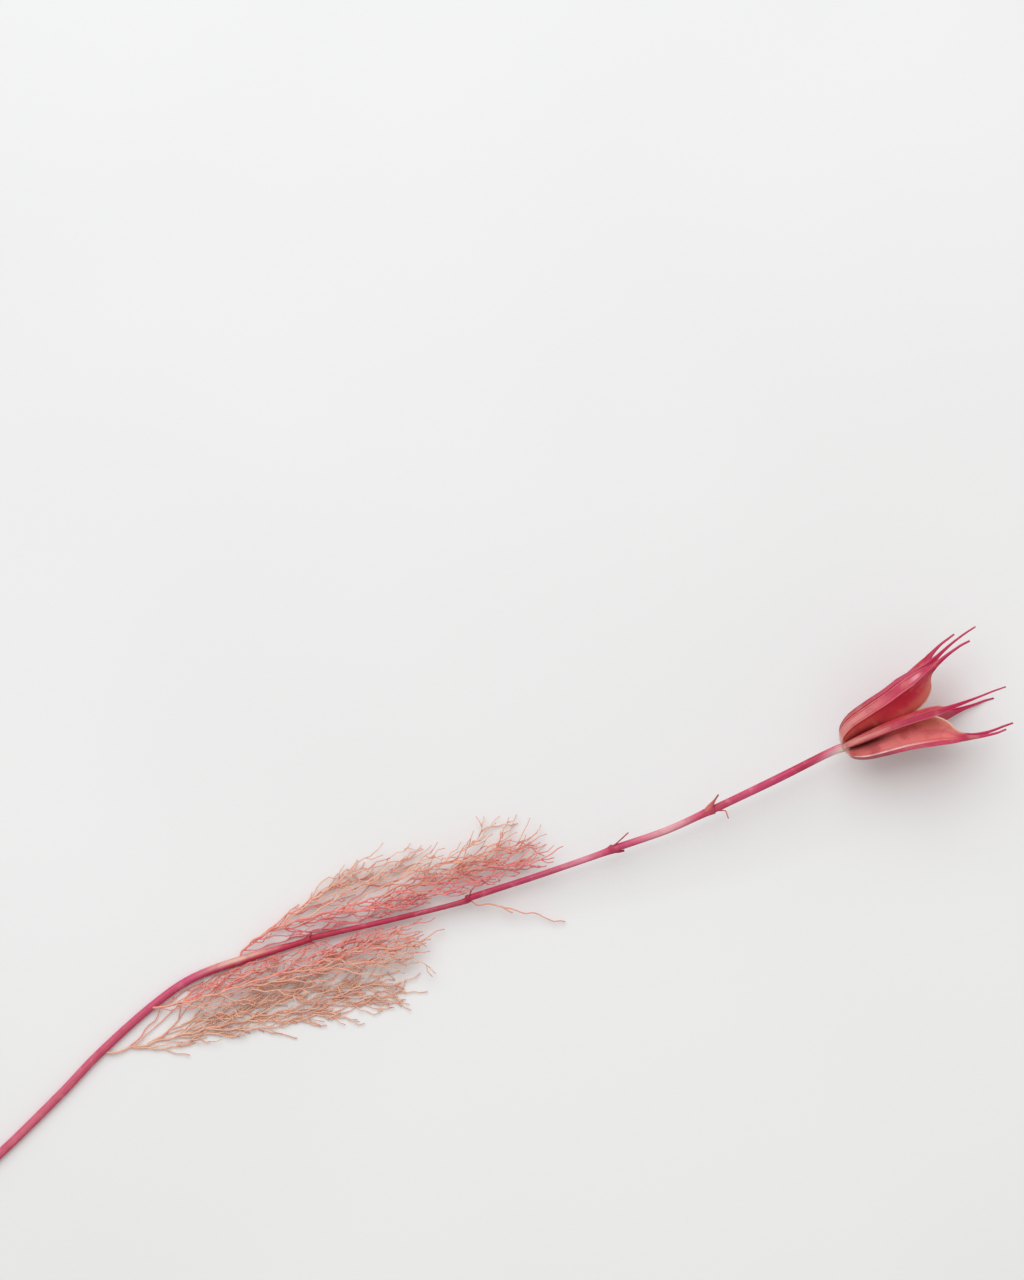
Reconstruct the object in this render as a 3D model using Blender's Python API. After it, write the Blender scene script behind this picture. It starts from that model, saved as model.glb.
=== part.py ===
"""Dried nigella seed pod on its cut stem, lying on a surface.

The pod is a flared cluster of seven flat-sided follicles, grown together along the axis up to
their shoulders. Each has a ribbed band down its back and ends in a long beak. The stem has four
joints with the stubs of old leaves, and carries four dried leaves cut into fine threads.
+X runs along the stem to the pod, +Z is up, and the object rests on z = 0. Lengths are in mm and
are turned into metres where meshes are made.
"""

import math
import random
from typing import NamedTuple

import bmesh
import bpy
from mathutils import Matrix, Vector

MM = 0.001

# Driving sizes and places
POD_FOOT = Vector((96.97, -6.05, 10.9))  # where the stem meets the pod
POD_TILT = math.radians(4.0)            # the mouth of the pod is carried a little higher
JOIN_GAP = 0.45                         # between the middle of the stem's end and the pod
FLOOR_SPAN = (400.0, 200.0, 6.0)        # the block under the surface that flattens resting spots
SHARP_ANGLE = math.radians(38.0)        # edges bent more than this stay crisp

# The follicles
RINGS_PER_STATION = 2                   # rings of the loft between two stations
NERVE_HEIGHT = 0.16                     # the raised ribs along both edges of a band
NERVE_SHARE = 0.25                      # and at most this share of the band's half-width
BAND_LOW = 8.0                          # heights between which the breadth of a band changes
BAND_HIGH = 20.0
FLARE_START = 18.0                      # heights between which a follicle flares
FLARE_END = 27.0
BEAK_START = 26.0                       # where a beak leaves its follicle
HOOK_START = 0.8                        # share of the beak where its end starts to turn
RECEPTACLE_LENGTH = 1.5
RECEPTACLE_FOOT_RADIUS = 1.15
RECEPTACLE_TOP_RADIUS = 1.7
RECEPTACLE_SIDES = 16


class Station(NamedTuple):
    """A section of a follicle: its back and its seam, along the axis and out from it, and half-widths."""

    back_along: float
    back_out: float
    seam_along: float
    seam_out: float
    band: float
    belly: float
    seam: float


STATIONS = (
    Station(-0.05, 0.9, 0.3, -0.1, 0.45, 0.50, 0.45),
    Station(0.30, 2.4, 0.8, -0.1, 0.60, 0.65, 0.50),
    Station(1.50, 4.3, 1.8, -0.1, 0.72, 0.85, 0.50),
    Station(4.4, 5.9, 4.2, -0.1, 0.82, 1.05, 0.52),
    Station(9.0, 6.9, 8.6, -0.1, 0.95, 1.20, 0.52),
    Station(14.0, 7.75, 13.6, 0.0, 1.12, 1.20, 0.50),
    Station(18.0, 8.75, 18.5, 0.85, 1.30, 1.10, 0.45),
    Station(21.2, 9.6, 22.4, 2.55, 1.42, 0.98, 0.42),
    Station(23.6, 10.3, 24.8, 5.3, 1.32, 0.82, 0.40),
    Station(25.2, 10.75, 25.75, 8.0, 1.05, 0.66, 0.38),
    Station(26.9, 11.15, 27.15, 9.75, 0.72, 0.50, 0.36),
    Station(29.3, 11.7, 29.3, 10.9, 0.44, 0.40, 0.34),
    Station(33.0, 12.45, 33.0, 11.78, 0.34, 0.34, 0.31),
    Station(37.0, 12.95, 37.0, 12.32, 0.31, 0.31, 0.30),
    Station(40.2, 13.05, 40.2, 12.47, 0.30, 0.30, 0.29),
)
BEAK_LENGTH = STATIONS[-1].back_along - BEAK_START


class Follicle(NamedTuple):
    """One follicle: where it stands round the axis, how full and broad it is, and how its beak runs."""

    angle: float      # at the foot, in degrees from straight up towards +Y
    twist: float      # added to the angle by the height of the shoulder
    fullness: float   # scales the distance from the axis at the foot, less further up
    broad_low: float  # scales the width of the band near the foot
    broad_high: float  # and near the shoulder
    roll: float       # how far its back is turned towards -Y, in degrees
    flare: float      # added distance from the axis from the shoulder on
    reach: float      # how far along the axis the beak's tip comes
    spread: float     # added distance of the tip from the axis
    lean: float       # sideways shift of the tip, round the axis
    hook: float       # extra sideways turn at the very end


FOLLICLES = (
    Follicle(3.5, -14.0, 1.00, 0.80, 0.62, 0.0, 0.0, 41.3, 0.2, -0.5, -0.2),
    Follicle(46.0, 8.0, 1.05, 1.50, 1.12, 16.0, -0.6, 38.0, 1.5, -1.3, -0.3),
    Follicle(78.0, 5.0, 1.11, 1.22, 1.02, 10.0, -1.3, 40.2, 1.1, 0.0, 0.0),
    Follicle(122.0, -15.0, 1.05, 1.00, 1.00, 0.0, 0.35, 34.7, 0.2, 0.0, -0.7),
    Follicle(196.0, 3.0, 1.00, 1.00, 1.00, 0.0, 0.0, 36.2, 1.45, -0.4, 0.3),
    Follicle(246.0, 3.0, 0.87, 1.00, 1.00, 0.0, 0.0, 38.4, -0.9, 0.3, 0.9),
    Follicle(298.0, -4.0, 0.87, 1.06, 1.05, 0.0, 0.1, 36.8, 0.5, 0.0, 0.3),
)


class Knot(NamedTuple):
    """A point on the stem's centre line, from the pod's foot, with the stem's thickness there."""

    back: float       # distance back from the pod along -X
    side: float       # towards +Y
    height: float     # above the surface
    thick: float


STEM_KNOTS = (
    Knot(0.0, 0.0, 10.9, 2.2),
    Knot(4.0, 0.25, 10.62, 1.95),
    Knot(17.0, -0.14, 9.7, 2.0),
    Knot(31.6, -0.30, 8.65, 1.9),
    Knot(33.7, -0.20, 8.5, 2.5),
    Knot(36.8, -0.26, 8.27, 1.85),
    Knot(46.0, -0.16, 7.6, 1.7),
    Knot(57.4, 1.05, 6.78, 1.8),
    Knot(59.0, 1.22, 6.66, 2.3),
    Knot(62.4, 1.38, 6.42, 1.6),
    Knot(78.0, 3.0, 5.35, 1.5),
    Knot(92.6, 4.8, 4.35, 1.6),
    Knot(94.5, 4.98, 4.2, 2.0),
    Knot(97.4, 5.0, 4.0, 1.3),
    Knot(113.0, 8.05, 2.95, 1.3),
    Knot(130.4, 11.8, 1.87, 1.4),
    Knot(132.4, 12.15, 1.75, 1.8),
    Knot(135.2, 12.3, 1.6, 1.4),
    Knot(147.1, 14.1, 1.1, 2.05),
    Knot(161.0, 15.4, 0.86, 1.95),
    Knot(173.0, 13.4, 0.86, 1.95),
    Knot(188.7, 8.6, 0.88, 2.0),
    Knot(201.5, 3.6, 0.91, 2.05),
    Knot(219.0, -2.6, 0.94, 2.1),
    Knot(234.6, -7.4, 0.94, 2.1),
)
STEM_POINTS_PER_SPAN = 2
STEM_BEVEL_RESOLUTION = 3               # ten sides
CUT_SLANT = math.radians(28.0)          # the cut end was made at a slant
CUT_DEPTH = 1.2                         # and takes this much off the last knot


class Stub(NamedTuple):
    """What is left of an old leaf at a joint of the stem."""

    back: float       # the joint, as on a knot
    turn: float       # degrees from the stem's direction, in plan, towards +Y
    rise: float       # degrees above the surface
    length: float
    thick: float


STUBS = (
    Stub(33.7, 32.0, 30.0, 5.0, 0.95),
    Stub(33.7, -26.0, 4.0, 4.8, 0.75),
    Stub(59.0, 21.0, 24.0, 6.0, 0.85),
    Stub(59.0, -24.0, 0.0, 2.9, 0.9),
    Stub(94.5, 30.0, 32.0, 2.4, 0.85),
    Stub(132.4, 36.0, 40.0, 2.0, 0.8),
    Stub(132.4, -52.0, 16.0, 1.9, 0.8),
)
STUB_SINK = 0.7                         # how far its root goes into the stem
STUB_ROOT_SCALE = 1.5                   # how much thicker its root is
STUB_TIP = 0.8                          # thickness of its tip
STUB_BEND = 0.55                        # share of its length where it turns along the stem


class Leaf(NamedTuple):
    """A dried leaf: a main thread that forks from side to side, and whose forks fork again."""

    name: str
    route: tuple      # rows on the main thread: back and side as on a knot, and the height
    side: int         # the side of the stem that it stays on, +1 towards +Y
    low: float        # the lowest and the highest that a fork's centre line goes
    high: float
    forks: int
    fork_length: float  # of the longest forks, which leave about the middle of the main thread
    seed: int


LEAVES = (
    Leaf("leaf_upper", ((148.0, 16.4, 1.5), (139.0, 17.8, 3.0), (119.0, 15.0, 4.4), (99.0, 11.6, 3.8),
                        (82.0, 9.4, 4.2)), 1, 0.4, 6.4, 17, 31.0, 18),
    Leaf("leaf_middle", ((171.5, 12.5, 2.5), (161.0, 10.0, 3.6), (138.0, 7.0, 4.0), (124.0, 4.6, 4.6),
                         (117.0, 3.2, 3.6)), -1, 2.5, 6.0, 14, 25.0, 15),
    Leaf("leaf_lower", ((186.0, 7.4, 0.95), (174.0, 5.0, 0.8), (156.0, 1.6, 0.9), (140.0, -1.6, 0.8),
                        (126.0, -4.6, 1.2)), -1, 0.45, 1.4, 13, 24.0, 15),
    Leaf("leaf_thread", ((93.6, 2.9, 3.6), (88.7, 0.3, 3.0), (85.4, -2.6, 2.4), (81.6, -5.4, 1.8),
                         (78.8, -8.3, 1.2), (76.4, -9.9, 0.9)), -1, 0.6, 3.8, 1, 4.2, 47),
)
THREAD = 0.86                           # thickness of a thread, across its corners
MAIN_THREAD = 0.95                      # and of a leaf's main thread
LEAF_FOOT = 1.15                        # which is thicker where it leaves the stem
MAIN_POINTS_PER_SPAN = 3
MAIN_WANDER = 0.25                      # how far the main thread strays from its route
MAIN_WANDER_UP = 0.2
FIRST_FORK = 0.10                       # share of the main thread before the forks start
FORKED_SHARE = 0.84                     # and the share that carries them
FORK_RISE = (0.55, 1.3)                 # share of the full length at the first fork, and its rise
FORK_FALL = (1.15, 0.75)                # the same and its fall, for the forks past the middle
FORK_ANGLE = (15.0, 28.0)
FORK_RETURN = 0.85                      # share of that angle that a fork bends back
TWIG_RETURN = 0.6                       # and a twig
FORK_STEP = 7.0                         # length of thread between two bends
BEND = 3.4                              # degrees of random bend at each step
SAG = (-0.9, 0.5)                       # random drop or rise at each step
LONG_FORK = 12.0                        # forks longer than this carry three twigs
SHORT_FORK = 6.0                        # others two, but none where they are shorter than this
TWIG_LENGTH = (0.3, 0.5)                # share of its fork's length
STEM_CLEARANCE = 1.75                   # a thread's centre line stays this far from the stem's in plan


def clamped(value):
    """The value, held between 0 and 1."""
    return min(1.0, max(0.0, value))


def catmull_rom(before, start, end, after, share):
    """The value at a share of the way from start to end, on a smooth curve through all four."""
    slope_in = 0.5 * (end - before)
    slope_out = 0.5 * (after - start)
    square = share * share
    cube = square * share
    return ((2 * cube - 3 * square + 1) * start + (cube - 2 * square + share) * slope_in
            + (3 * square - 2 * cube) * end + (cube - square) * slope_out)


def smooth_rows(rows, per_span):
    """Rows of numbers, refined to per_span steps between each two by a smooth curve through them."""
    refined = []
    for index in range(len(rows) - 1):
        before = rows[max(index - 1, 0)]
        after = rows[min(index + 2, len(rows) - 1)]
        for step in range(per_span):
            refined.append([catmull_rom(*four, step / per_span)
                            for four in zip(before, rows[index], rows[index + 1], after)])
    refined.append(list(rows[-1]))
    return refined


def on_object(back, side, height):
    """A place given back from the pod's foot, as a point of the object."""
    return Vector((POD_FOOT.x - back, POD_FOOT.y + side, height))


def material(name, colour, roughness):
    """A plain finish in linear colour."""
    made = bpy.data.materials.new(name)
    made.use_nodes = True
    shader = made.node_tree.nodes["Principled BSDF"]
    shader.inputs["Base Color"].default_value = (*colour, 1.0)
    shader.inputs["Roughness"].default_value = roughness
    return made


def new_collection(name):
    """An empty collection in the scene."""
    made = bpy.data.collections.new(name)
    bpy.context.scene.collection.children.link(made)
    return made


def mesh_object(name, bm):
    """A new object that holds a bmesh, which is freed."""
    mesh = bpy.data.meshes.new(name)
    bm.to_mesh(mesh)
    bm.free()
    return bpy.data.objects.new(name, mesh)


def evaluated_mesh(obj):
    """A new mesh with the object's evaluated shape."""
    bpy.context.view_layer.update()
    graph = bpy.context.evaluated_depsgraph_get()
    return bpy.data.meshes.new_from_object(obj.evaluated_get(graph))


def join_pieces(target, pieces, finish):
    """Joins a collection's objects to the target by one Boolean union, removes them, and adds the finish."""
    union = target.modifiers.new("grown together", "BOOLEAN")
    union.operation = "UNION"
    union.operand_type = "COLLECTION"
    union.collection = pieces
    union.solver = "MANIFOLD"
    mesh = evaluated_mesh(target)
    target.modifiers.clear()
    mesh.materials.clear()
    mesh.materials.append(finish)
    target.data = mesh
    for obj in list(pieces.objects):
        bpy.data.objects.remove(obj)
    bpy.data.collections.remove(pieces)


def tube(name, points, thicknesses, collection, resolution=0):
    """A thread or stalk through the points, in mm: a bevelled curve made into a closed mesh."""
    curve = bpy.data.curves.new(name, "CURVE")
    curve.dimensions = "3D"
    curve.bevel_depth = MM
    curve.bevel_resolution = resolution
    curve.use_fill_caps = True
    spline = curve.splines.new("POLY")
    spline.points.add(len(points) - 1)
    for control, point, thickness in zip(spline.points, points, thicknesses):
        control.co = (*(point * MM), 1.0)
        control.radius = thickness / 2
    guide = bpy.data.objects.new(name, curve)
    collection.objects.link(guide)
    bm = bmesh.new()
    bm.from_mesh(evaluated_mesh(guide))
    bmesh.ops.remove_doubles(bm, verts=bm.verts, dist=1e-6)
    bpy.data.objects.remove(guide)
    obj = mesh_object(name, bm)
    collection.objects.link(obj)
    return obj


def section(station, broad):
    """A follicle's depth from seam to back, and points round it: how deep from the seam, and how far aside."""
    depth = math.hypot(station.back_along - station.seam_along, station.back_out - station.seam_out)
    band = station.band * broad
    nerve = min(NERVE_HEIGHT, NERVE_SHARE * band)
    neck = min(0.62 * depth, depth - 2.2 * nerve)
    half = (
        (depth + nerve, 0.84 * band),           # top of the nerve
        (depth - nerve, band),                  # edge of the band
        (0.5 * (neck + depth), 0.72 * band),    # the sides draw in behind the band
        (0.80 * neck, station.belly),           # and swell over the seeds
        (0.45 * neck, 0.90 * station.belly),
        (0.0, station.seam),
    )
    left = list(half)
    right = [(out, -width) for out, width in reversed(half)]
    return depth, [(depth - 0.4 * nerve, 0.0), *left, *right]


def rolled(depth, out, side, roll):
    """A point of a section, turned about the follicle's back, fully there and less further in."""
    turn = math.radians(roll) * clamped(out / depth) ** 2
    back = out - depth
    return (depth + back * math.cos(turn) + side * math.sin(turn),
            side * math.cos(turn) - back * math.sin(turn))


def beak_shift(follicle, along):
    """How far a point of the beak is moved out from the axis and sideways round it."""
    share = max(0.0, (along - BEAK_START) / BEAK_LENGTH)
    out = follicle.spread * share ** 1.3
    hook = follicle.hook * max(0.0, share - HOOK_START) / (1.0 - HOOK_START)
    return out, follicle.lean * share ** 0.8 + hook


def follicle_ring(follicle, row):
    """One ring of a follicle's surface, in the pod's own frame with the axis along +X."""
    station = Station(*row)
    seam = Vector((station.seam_along, station.seam_out))
    across = (Vector((station.back_along, station.back_out)) - seam).normalized()
    height = clamped((station.back_along - BAND_LOW) / (BAND_HIGH - BAND_LOW))
    broad = follicle.broad_low + (follicle.broad_high - follicle.broad_low) * height
    depth, outline = section(station, broad)
    beak = clamped((station.back_along - BAND_HIGH) / (BEAK_START - BAND_HIGH))
    ring = []
    for out, side in outline:
        out, side = rolled(depth, out, side, follicle.roll * (1.0 - beak))
        along, away = seam + across * out
        share = clamped(along / BEAK_START)
        away *= 1.0 + (follicle.fullness - 1.0) * (1.0 - share) ** 1.2
        away += follicle.flare * clamped((along - FLARE_START) / (FLARE_END - FLARE_START))
        more_out, more_side = beak_shift(follicle, along)
        angle = math.radians(follicle.angle + follicle.twist * share)
        if along > BEAK_START:
            along = BEAK_START + (along - BEAK_START) * (follicle.reach - BEAK_START) / BEAK_LENGTH
        away += more_out
        side += more_side
        ring.append(Vector((along, away * math.sin(angle) + side * math.cos(angle),
                            away * math.cos(angle) - side * math.sin(angle))))
    return ring


def loft(name, rings):
    """A closed solid through rings with the same number of points."""
    bm = bmesh.new()
    loops = [[bm.verts.new(point * MM) for point in ring] for ring in rings]
    count = len(rings[0])
    for first, second in zip(loops, loops[1:]):
        for index in range(count):
            after = (index + 1) % count
            bm.faces.new((first[index], first[after], second[after], second[index]))
    bm.faces.new(loops[0])
    bm.faces.new(loops[-1])
    bmesh.ops.recalc_face_normals(bm, faces=bm.faces)
    return mesh_object(name, bm)


def receptacle(name):
    """The short swollen end of the stem that the follicles stand on."""
    bm = bmesh.new()
    bmesh.ops.create_cone(bm, cap_ends=True, segments=RECEPTACLE_SIDES,
                          radius1=RECEPTACLE_FOOT_RADIUS * MM, radius2=RECEPTACLE_TOP_RADIUS * MM,
                          depth=RECEPTACLE_LENGTH * MM)
    bmesh.ops.rotate(bm, cent=(0, 0, 0), matrix=Matrix.Rotation(math.pi / 2, 3, "Y"), verts=bm.verts)
    bmesh.ops.translate(bm, vec=(RECEPTACLE_LENGTH / 2 * MM, 0, 0), verts=bm.verts)
    return mesh_object(name, bm)


def build_pod(collection, finish):
    """The seven follicles and the receptacle, grown together."""
    rows = smooth_rows(STATIONS, RINGS_PER_STATION)
    pieces = new_collection("follicles")
    for number, follicle in enumerate(FOLLICLES, 1):
        rings = [follicle_ring(follicle, row) for row in rows]
        pieces.objects.link(loft(f"follicle_{number}", rings))
    pod = receptacle("seed_pod")
    collection.objects.link(pod)
    join_pieces(pod, pieces, finish)
    pod.location = POD_FOOT * MM
    pod.rotation_euler = (0.0, -POD_TILT, 0.0)
    return pod


def stem_line():
    """Points and thicknesses along the stem, from the pod to the cut end."""
    rows = smooth_rows(STEM_KNOTS, STEM_POINTS_PER_SPAN)
    points = [on_object(*row[:3]) for row in rows]
    points[0] += (points[1] - points[0]).normalized() * JOIN_GAP
    return points, [row[3] for row in rows]


def stub_points(stub, stem_points):
    """A stub's root inside the stem, its middle and its tip, which turns a little towards the pod."""
    joint = POD_FOOT.x - stub.back
    index = min(range(1, len(stem_points) - 1), key=lambda i: abs(stem_points[i].x - joint))
    centre = stem_points[index]
    along = (stem_points[index - 1] - stem_points[index + 1]).normalized()
    heading = math.atan2(along.y, along.x) + math.radians(stub.turn)
    rise = math.radians(stub.rise)
    out = Vector((math.cos(heading) * math.cos(rise), math.sin(heading) * math.cos(rise), math.sin(rise)))
    root = centre - (out + along) * STUB_SINK
    middle = centre + out * (STUB_BEND * stub.length)
    tip = middle + (out + along * 0.5).normalized() * ((1.0 - STUB_BEND) * stub.length)
    return [root, middle, tip]


def slant_cut(obj, end, inward):
    """Trims the end of the stem with a slanted plane and closes it."""
    flat = Vector((inward.x, inward.y, 0.0)).normalized()
    normal = -(Matrix.Rotation(CUT_SLANT, 3, "Z") @ flat)
    bm = bmesh.new()
    bm.from_mesh(obj.data)
    bmesh.ops.bisect_plane(bm, geom=[*bm.verts, *bm.edges, *bm.faces], dist=1e-7,
                           plane_co=(end + flat * CUT_DEPTH) * MM, plane_no=normal, clear_outer=True)
    bmesh.ops.holes_fill(bm, edges=[edge for edge in bm.edges if edge.is_boundary])
    bmesh.ops.recalc_face_normals(bm, faces=bm.faces)
    bm.to_mesh(obj.data)
    bm.free()


def build_stem(collection, finish):
    """The stem with the stubs of its old leaves, cut at a slant."""
    points, thicknesses = stem_line()
    stem = tube("stem", points, thicknesses, collection, STEM_BEVEL_RESOLUTION)
    stubs = new_collection("stubs")
    for number, stub in enumerate(STUBS, 1):
        tube(f"stub_{number}", stub_points(stub, points),
             [STUB_ROOT_SCALE * stub.thick, stub.thick, STUB_TIP], stubs)
    join_pieces(stem, stubs, finish)
    slant_cut(stem, points[-1], points[-2] - points[-1])
    return stem


def stem_beside(place):
    """The y of the stem's centre line at the x of a place."""
    back = POD_FOOT.x - place.x
    for near, far in zip(STEM_KNOTS, STEM_KNOTS[1:]):
        if near.back <= back <= far.back:
            share = (back - near.back) / (far.back - near.back)
            return POD_FOOT.y + near.side + share * (far.side - near.side)
    return POD_FOOT.y


def main_thread(rng, leaf):
    """Points along a leaf's main thread: a smooth curve through its route, a little crooked."""
    points = [on_object(*row) for row in smooth_rows(leaf.route, MAIN_POINTS_PER_SPAN)]
    for point in points[1:]:
        point.y += rng.uniform(-MAIN_WANDER, MAIN_WANDER)
        point.z += rng.uniform(-MAIN_WANDER_UP, MAIN_WANDER_UP)
    return points


def grow_thread(rng, leaf, start, heading, length, turn):
    """A crooked fork's points. It ends early where it would come to the stem."""
    steps = max(2, round(length / FORK_STEP))
    points = [start.copy()]
    for _ in range(steps):
        heading += turn / steps + rng.uniform(-BEND, BEND)
        ahead = Vector((math.cos(math.radians(heading)), math.sin(math.radians(heading)), 0.0))
        point = points[-1] + ahead * (length / steps)
        point.z = min(leaf.high, max(leaf.low, point.z + rng.uniform(*SAG)))
        if leaf.side * (point.y - stem_beside(point)) < STEM_CLEARANCE:
            break
        points.append(point)
    return points


def fork_from(points, share):
    """A place at a share of the way along a thread, with its heading there in degrees."""
    position = share * (len(points) - 1)
    index = min(int(position), len(points) - 2)
    ahead = points[index + 1] - points[index]
    place = points[index].lerp(points[index + 1], position - index)
    return place, math.degrees(math.atan2(ahead.y, ahead.x))


def fork_reach(share):
    """How long a fork is for its place on the main thread, as a share of the longest."""
    return min(FORK_RISE[0] + FORK_RISE[1] * share, FORK_FALL[0] - FORK_FALL[1] * share)


def twig_count(length):
    """How many twigs a fork of a length carries."""
    return 3 if length > LONG_FORK else 2 if length > SHORT_FORK else 0


def leaf_threads(leaf):
    """Every thread of a leaf, each a list of points: the main one, its forks, and theirs."""
    rng = random.Random(leaf.seed)
    threads = [main_thread(rng, leaf)]
    for fork in range(leaf.forks):
        share = FIRST_FORK + FORKED_SHARE * (fork + rng.uniform(0.1, 0.7)) / leaf.forks
        hand = 1 if fork % 2 else -1
        start, heading = fork_from(threads[0], share)
        length = leaf.fork_length * fork_reach(share) * rng.uniform(0.85, 1.15)
        spread = hand * rng.uniform(*FORK_ANGLE)
        points = grow_thread(rng, leaf, start, heading + spread, length, -FORK_RETURN * spread)
        if len(points) < 2:
            continue
        threads.append(points)
        for twig in range(twig_count(length)):
            root, aim = fork_from(points, 0.25 + 0.22 * twig + rng.uniform(0.0, 0.12))
            turn = (hand if twig % 2 else -hand) * rng.uniform(*FORK_ANGLE)
            twig_points = grow_thread(rng, leaf, root, aim + turn, length * rng.uniform(*TWIG_LENGTH),
                                      -TWIG_RETURN * turn)
            if len(twig_points) > 1:
                threads.append(twig_points)
    return threads


def build_leaf(leaf, collection, finish):
    """One dried leaf, its threads grown together."""
    threads = leaf_threads(leaf)
    main = tube(leaf.name, threads[0], [LEAF_FOOT] + [MAIN_THREAD] * (len(threads[0]) - 1), collection)
    forks = new_collection("forks")
    for number, points in enumerate(threads[1:], 1):
        tube(f"fork_{number}", points, [THREAD] * len(points), forks)
    join_pieces(main, forks, finish)
    return main


def floor_cutter(collection):
    """The block under the surface, a guide that isn't part of the object."""
    bm = bmesh.new()
    bmesh.ops.create_cube(bm, size=1.0)
    span = Vector(FLOOR_SPAN) * MM
    bmesh.ops.scale(bm, vec=span, verts=bm.verts)
    bmesh.ops.translate(bm, vec=(0.0, 0.0, -span.z / 2), verts=bm.verts)
    cutter = mesh_object("below_surface", bm)
    cutter.hide_render = True
    cutter.display_type = "WIRE"
    collection.objects.link(cutter)
    return cutter


def finish_piece(obj, cutter):
    """Shades a piece and flattens the spots where it rests on the surface."""
    obj.data.shade_smooth()
    obj.data.set_sharp_from_angle(angle=SHARP_ANGLE)
    cut = obj.modifiers.new("resting spots", "BOOLEAN")
    cut.operation = "DIFFERENCE"
    cut.object = cutter
    cut.solver = "MANIFOLD"


def main():
    """Clears the scene and builds the object."""
    for obj in list(bpy.data.objects):
        bpy.data.objects.remove(obj)
    nigella = new_collection("nigella_seed_pod")
    cutter = floor_cutter(new_collection("guides"))
    pieces = [
        build_pod(nigella, material("dyed pod", (0.52, 0.075, 0.13), 0.5)),
        build_stem(nigella, material("dyed stem", (0.62, 0.13, 0.25), 0.45)),
    ]
    for leaf in LEAVES:
        pieces.append(build_leaf(leaf, nigella, material(f"dried {leaf.name}", (0.66, 0.30, 0.20), 0.6)))
    for obj in pieces:
        finish_piece(obj, cutter)


main()
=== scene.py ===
"""Dried nigella seed pod on its cut stem, dressed for a close look.

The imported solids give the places. The pod, the stem and each leaf are built again here from the same
tables with the fine forms of the real ones: ribbed bands, open seams, tapered beaks, a ribbed stem
and leaves cut into hair-fine threads. The tables are in millimetres, in the frame of the solids:
+X runs along the stem to the pod, +Z is up, and the surface is z = 0.
"""

from __future__ import annotations

import logging
import math
import random
from dataclasses import dataclass, field
from enum import Enum
from typing import NamedTuple, Sequence

import bmesh
import bpy
from mathutils import Matrix, Vector

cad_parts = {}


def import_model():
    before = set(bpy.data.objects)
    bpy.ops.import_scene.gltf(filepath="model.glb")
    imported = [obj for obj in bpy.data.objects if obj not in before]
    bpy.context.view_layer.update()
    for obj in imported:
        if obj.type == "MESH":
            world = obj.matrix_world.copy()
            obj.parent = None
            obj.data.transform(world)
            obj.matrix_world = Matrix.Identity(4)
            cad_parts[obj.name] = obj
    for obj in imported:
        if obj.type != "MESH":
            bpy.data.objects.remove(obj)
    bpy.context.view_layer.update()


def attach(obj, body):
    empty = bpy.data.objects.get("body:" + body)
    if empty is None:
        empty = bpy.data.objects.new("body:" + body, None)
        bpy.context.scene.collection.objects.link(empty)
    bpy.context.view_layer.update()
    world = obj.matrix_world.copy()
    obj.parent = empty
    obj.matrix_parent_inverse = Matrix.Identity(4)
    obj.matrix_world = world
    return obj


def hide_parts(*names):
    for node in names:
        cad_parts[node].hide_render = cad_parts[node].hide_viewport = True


LOG = logging.getLogger("nigella")
MM = 0.001
SURFACE = "surface"  # the vertex attribute that carries a place on a skin: across, along, tone

Colour = tuple[float, float, float]
Pair = tuple[float, float]  # the ends of a range or of a step, or two sizes or places of one kind
Stops = Sequence[tuple[float, Colour]]
Material = bpy.types.Material
Mesh = bmesh.types.BMesh
Vert = bmesh.types.BMVert
Tree = bpy.types.NodeTree
Node = bpy.types.Node
Socket = bpy.types.NodeSocket


def linear(colour: Colour) -> tuple[float, float, float, float]:
    """Turns a colour as a screen shows it into what a shader takes.

    Args:
        colour: red, green and blue from 0 to 1, as on a screen.

    Returns:
        The linear red, green and blue, and an alpha of 1.
    """
    parts = [part / 12.92 if part <= 0.04045 else ((part + 0.055) / 1.055) ** 2.4 for part in colour]
    return parts[0], parts[1], parts[2], 1.0


def clamped(value: float) -> float:
    """Holds a value between 0 and 1."""
    return min(1.0, max(0.0, value))


def eased(value: float, low: float, high: float) -> float:
    """A smooth step from 0 at low to 1 at high, as the shaders' steps are."""
    share = clamped((value - low) / (high - low))
    return share * share * (3.0 - 2.0 * share)


def catmull_rom(before: float, start: float, end: float, after: float, share: float) -> float:
    """Finds a value on a smooth curve through four others.

    Args:
        before: the value before the span.
        start: the value at the start of the span.
        end: the value at its end.
        after: the value after the span.
        share: how far along the span, from 0 to 1.

    Returns:
        The value there.
    """
    slope_in = 0.5 * (end - before)
    slope_out = 0.5 * (after - start)
    square = share * share
    cube = square * share
    return ((2 * cube - 3 * square + 1) * start + (cube - 2 * square + share) * slope_in
            + (3 * square - 2 * cube) * end + (cube - square) * slope_out)


def smooth_rows(rows: Sequence[Sequence[float]], per_span: int) -> list[list[float]]:
    """Refines rows of numbers by a smooth curve through them.

    Args:
        rows: the rows, all of one length.
        per_span: how many steps to make between each two.

    Returns:
        The refined rows, the first and last of them unchanged.
    """
    refined = []
    for index in range(len(rows) - 1):
        before = rows[max(index - 1, 0)]
        after = rows[min(index + 2, len(rows) - 1)]
        for step in range(per_span):
            refined.append([catmull_rom(*four, step / per_span)
                            for four in zip(before, rows[index], rows[index + 1], after)])
    refined.append(list(rows[-1]))
    return refined


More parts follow.
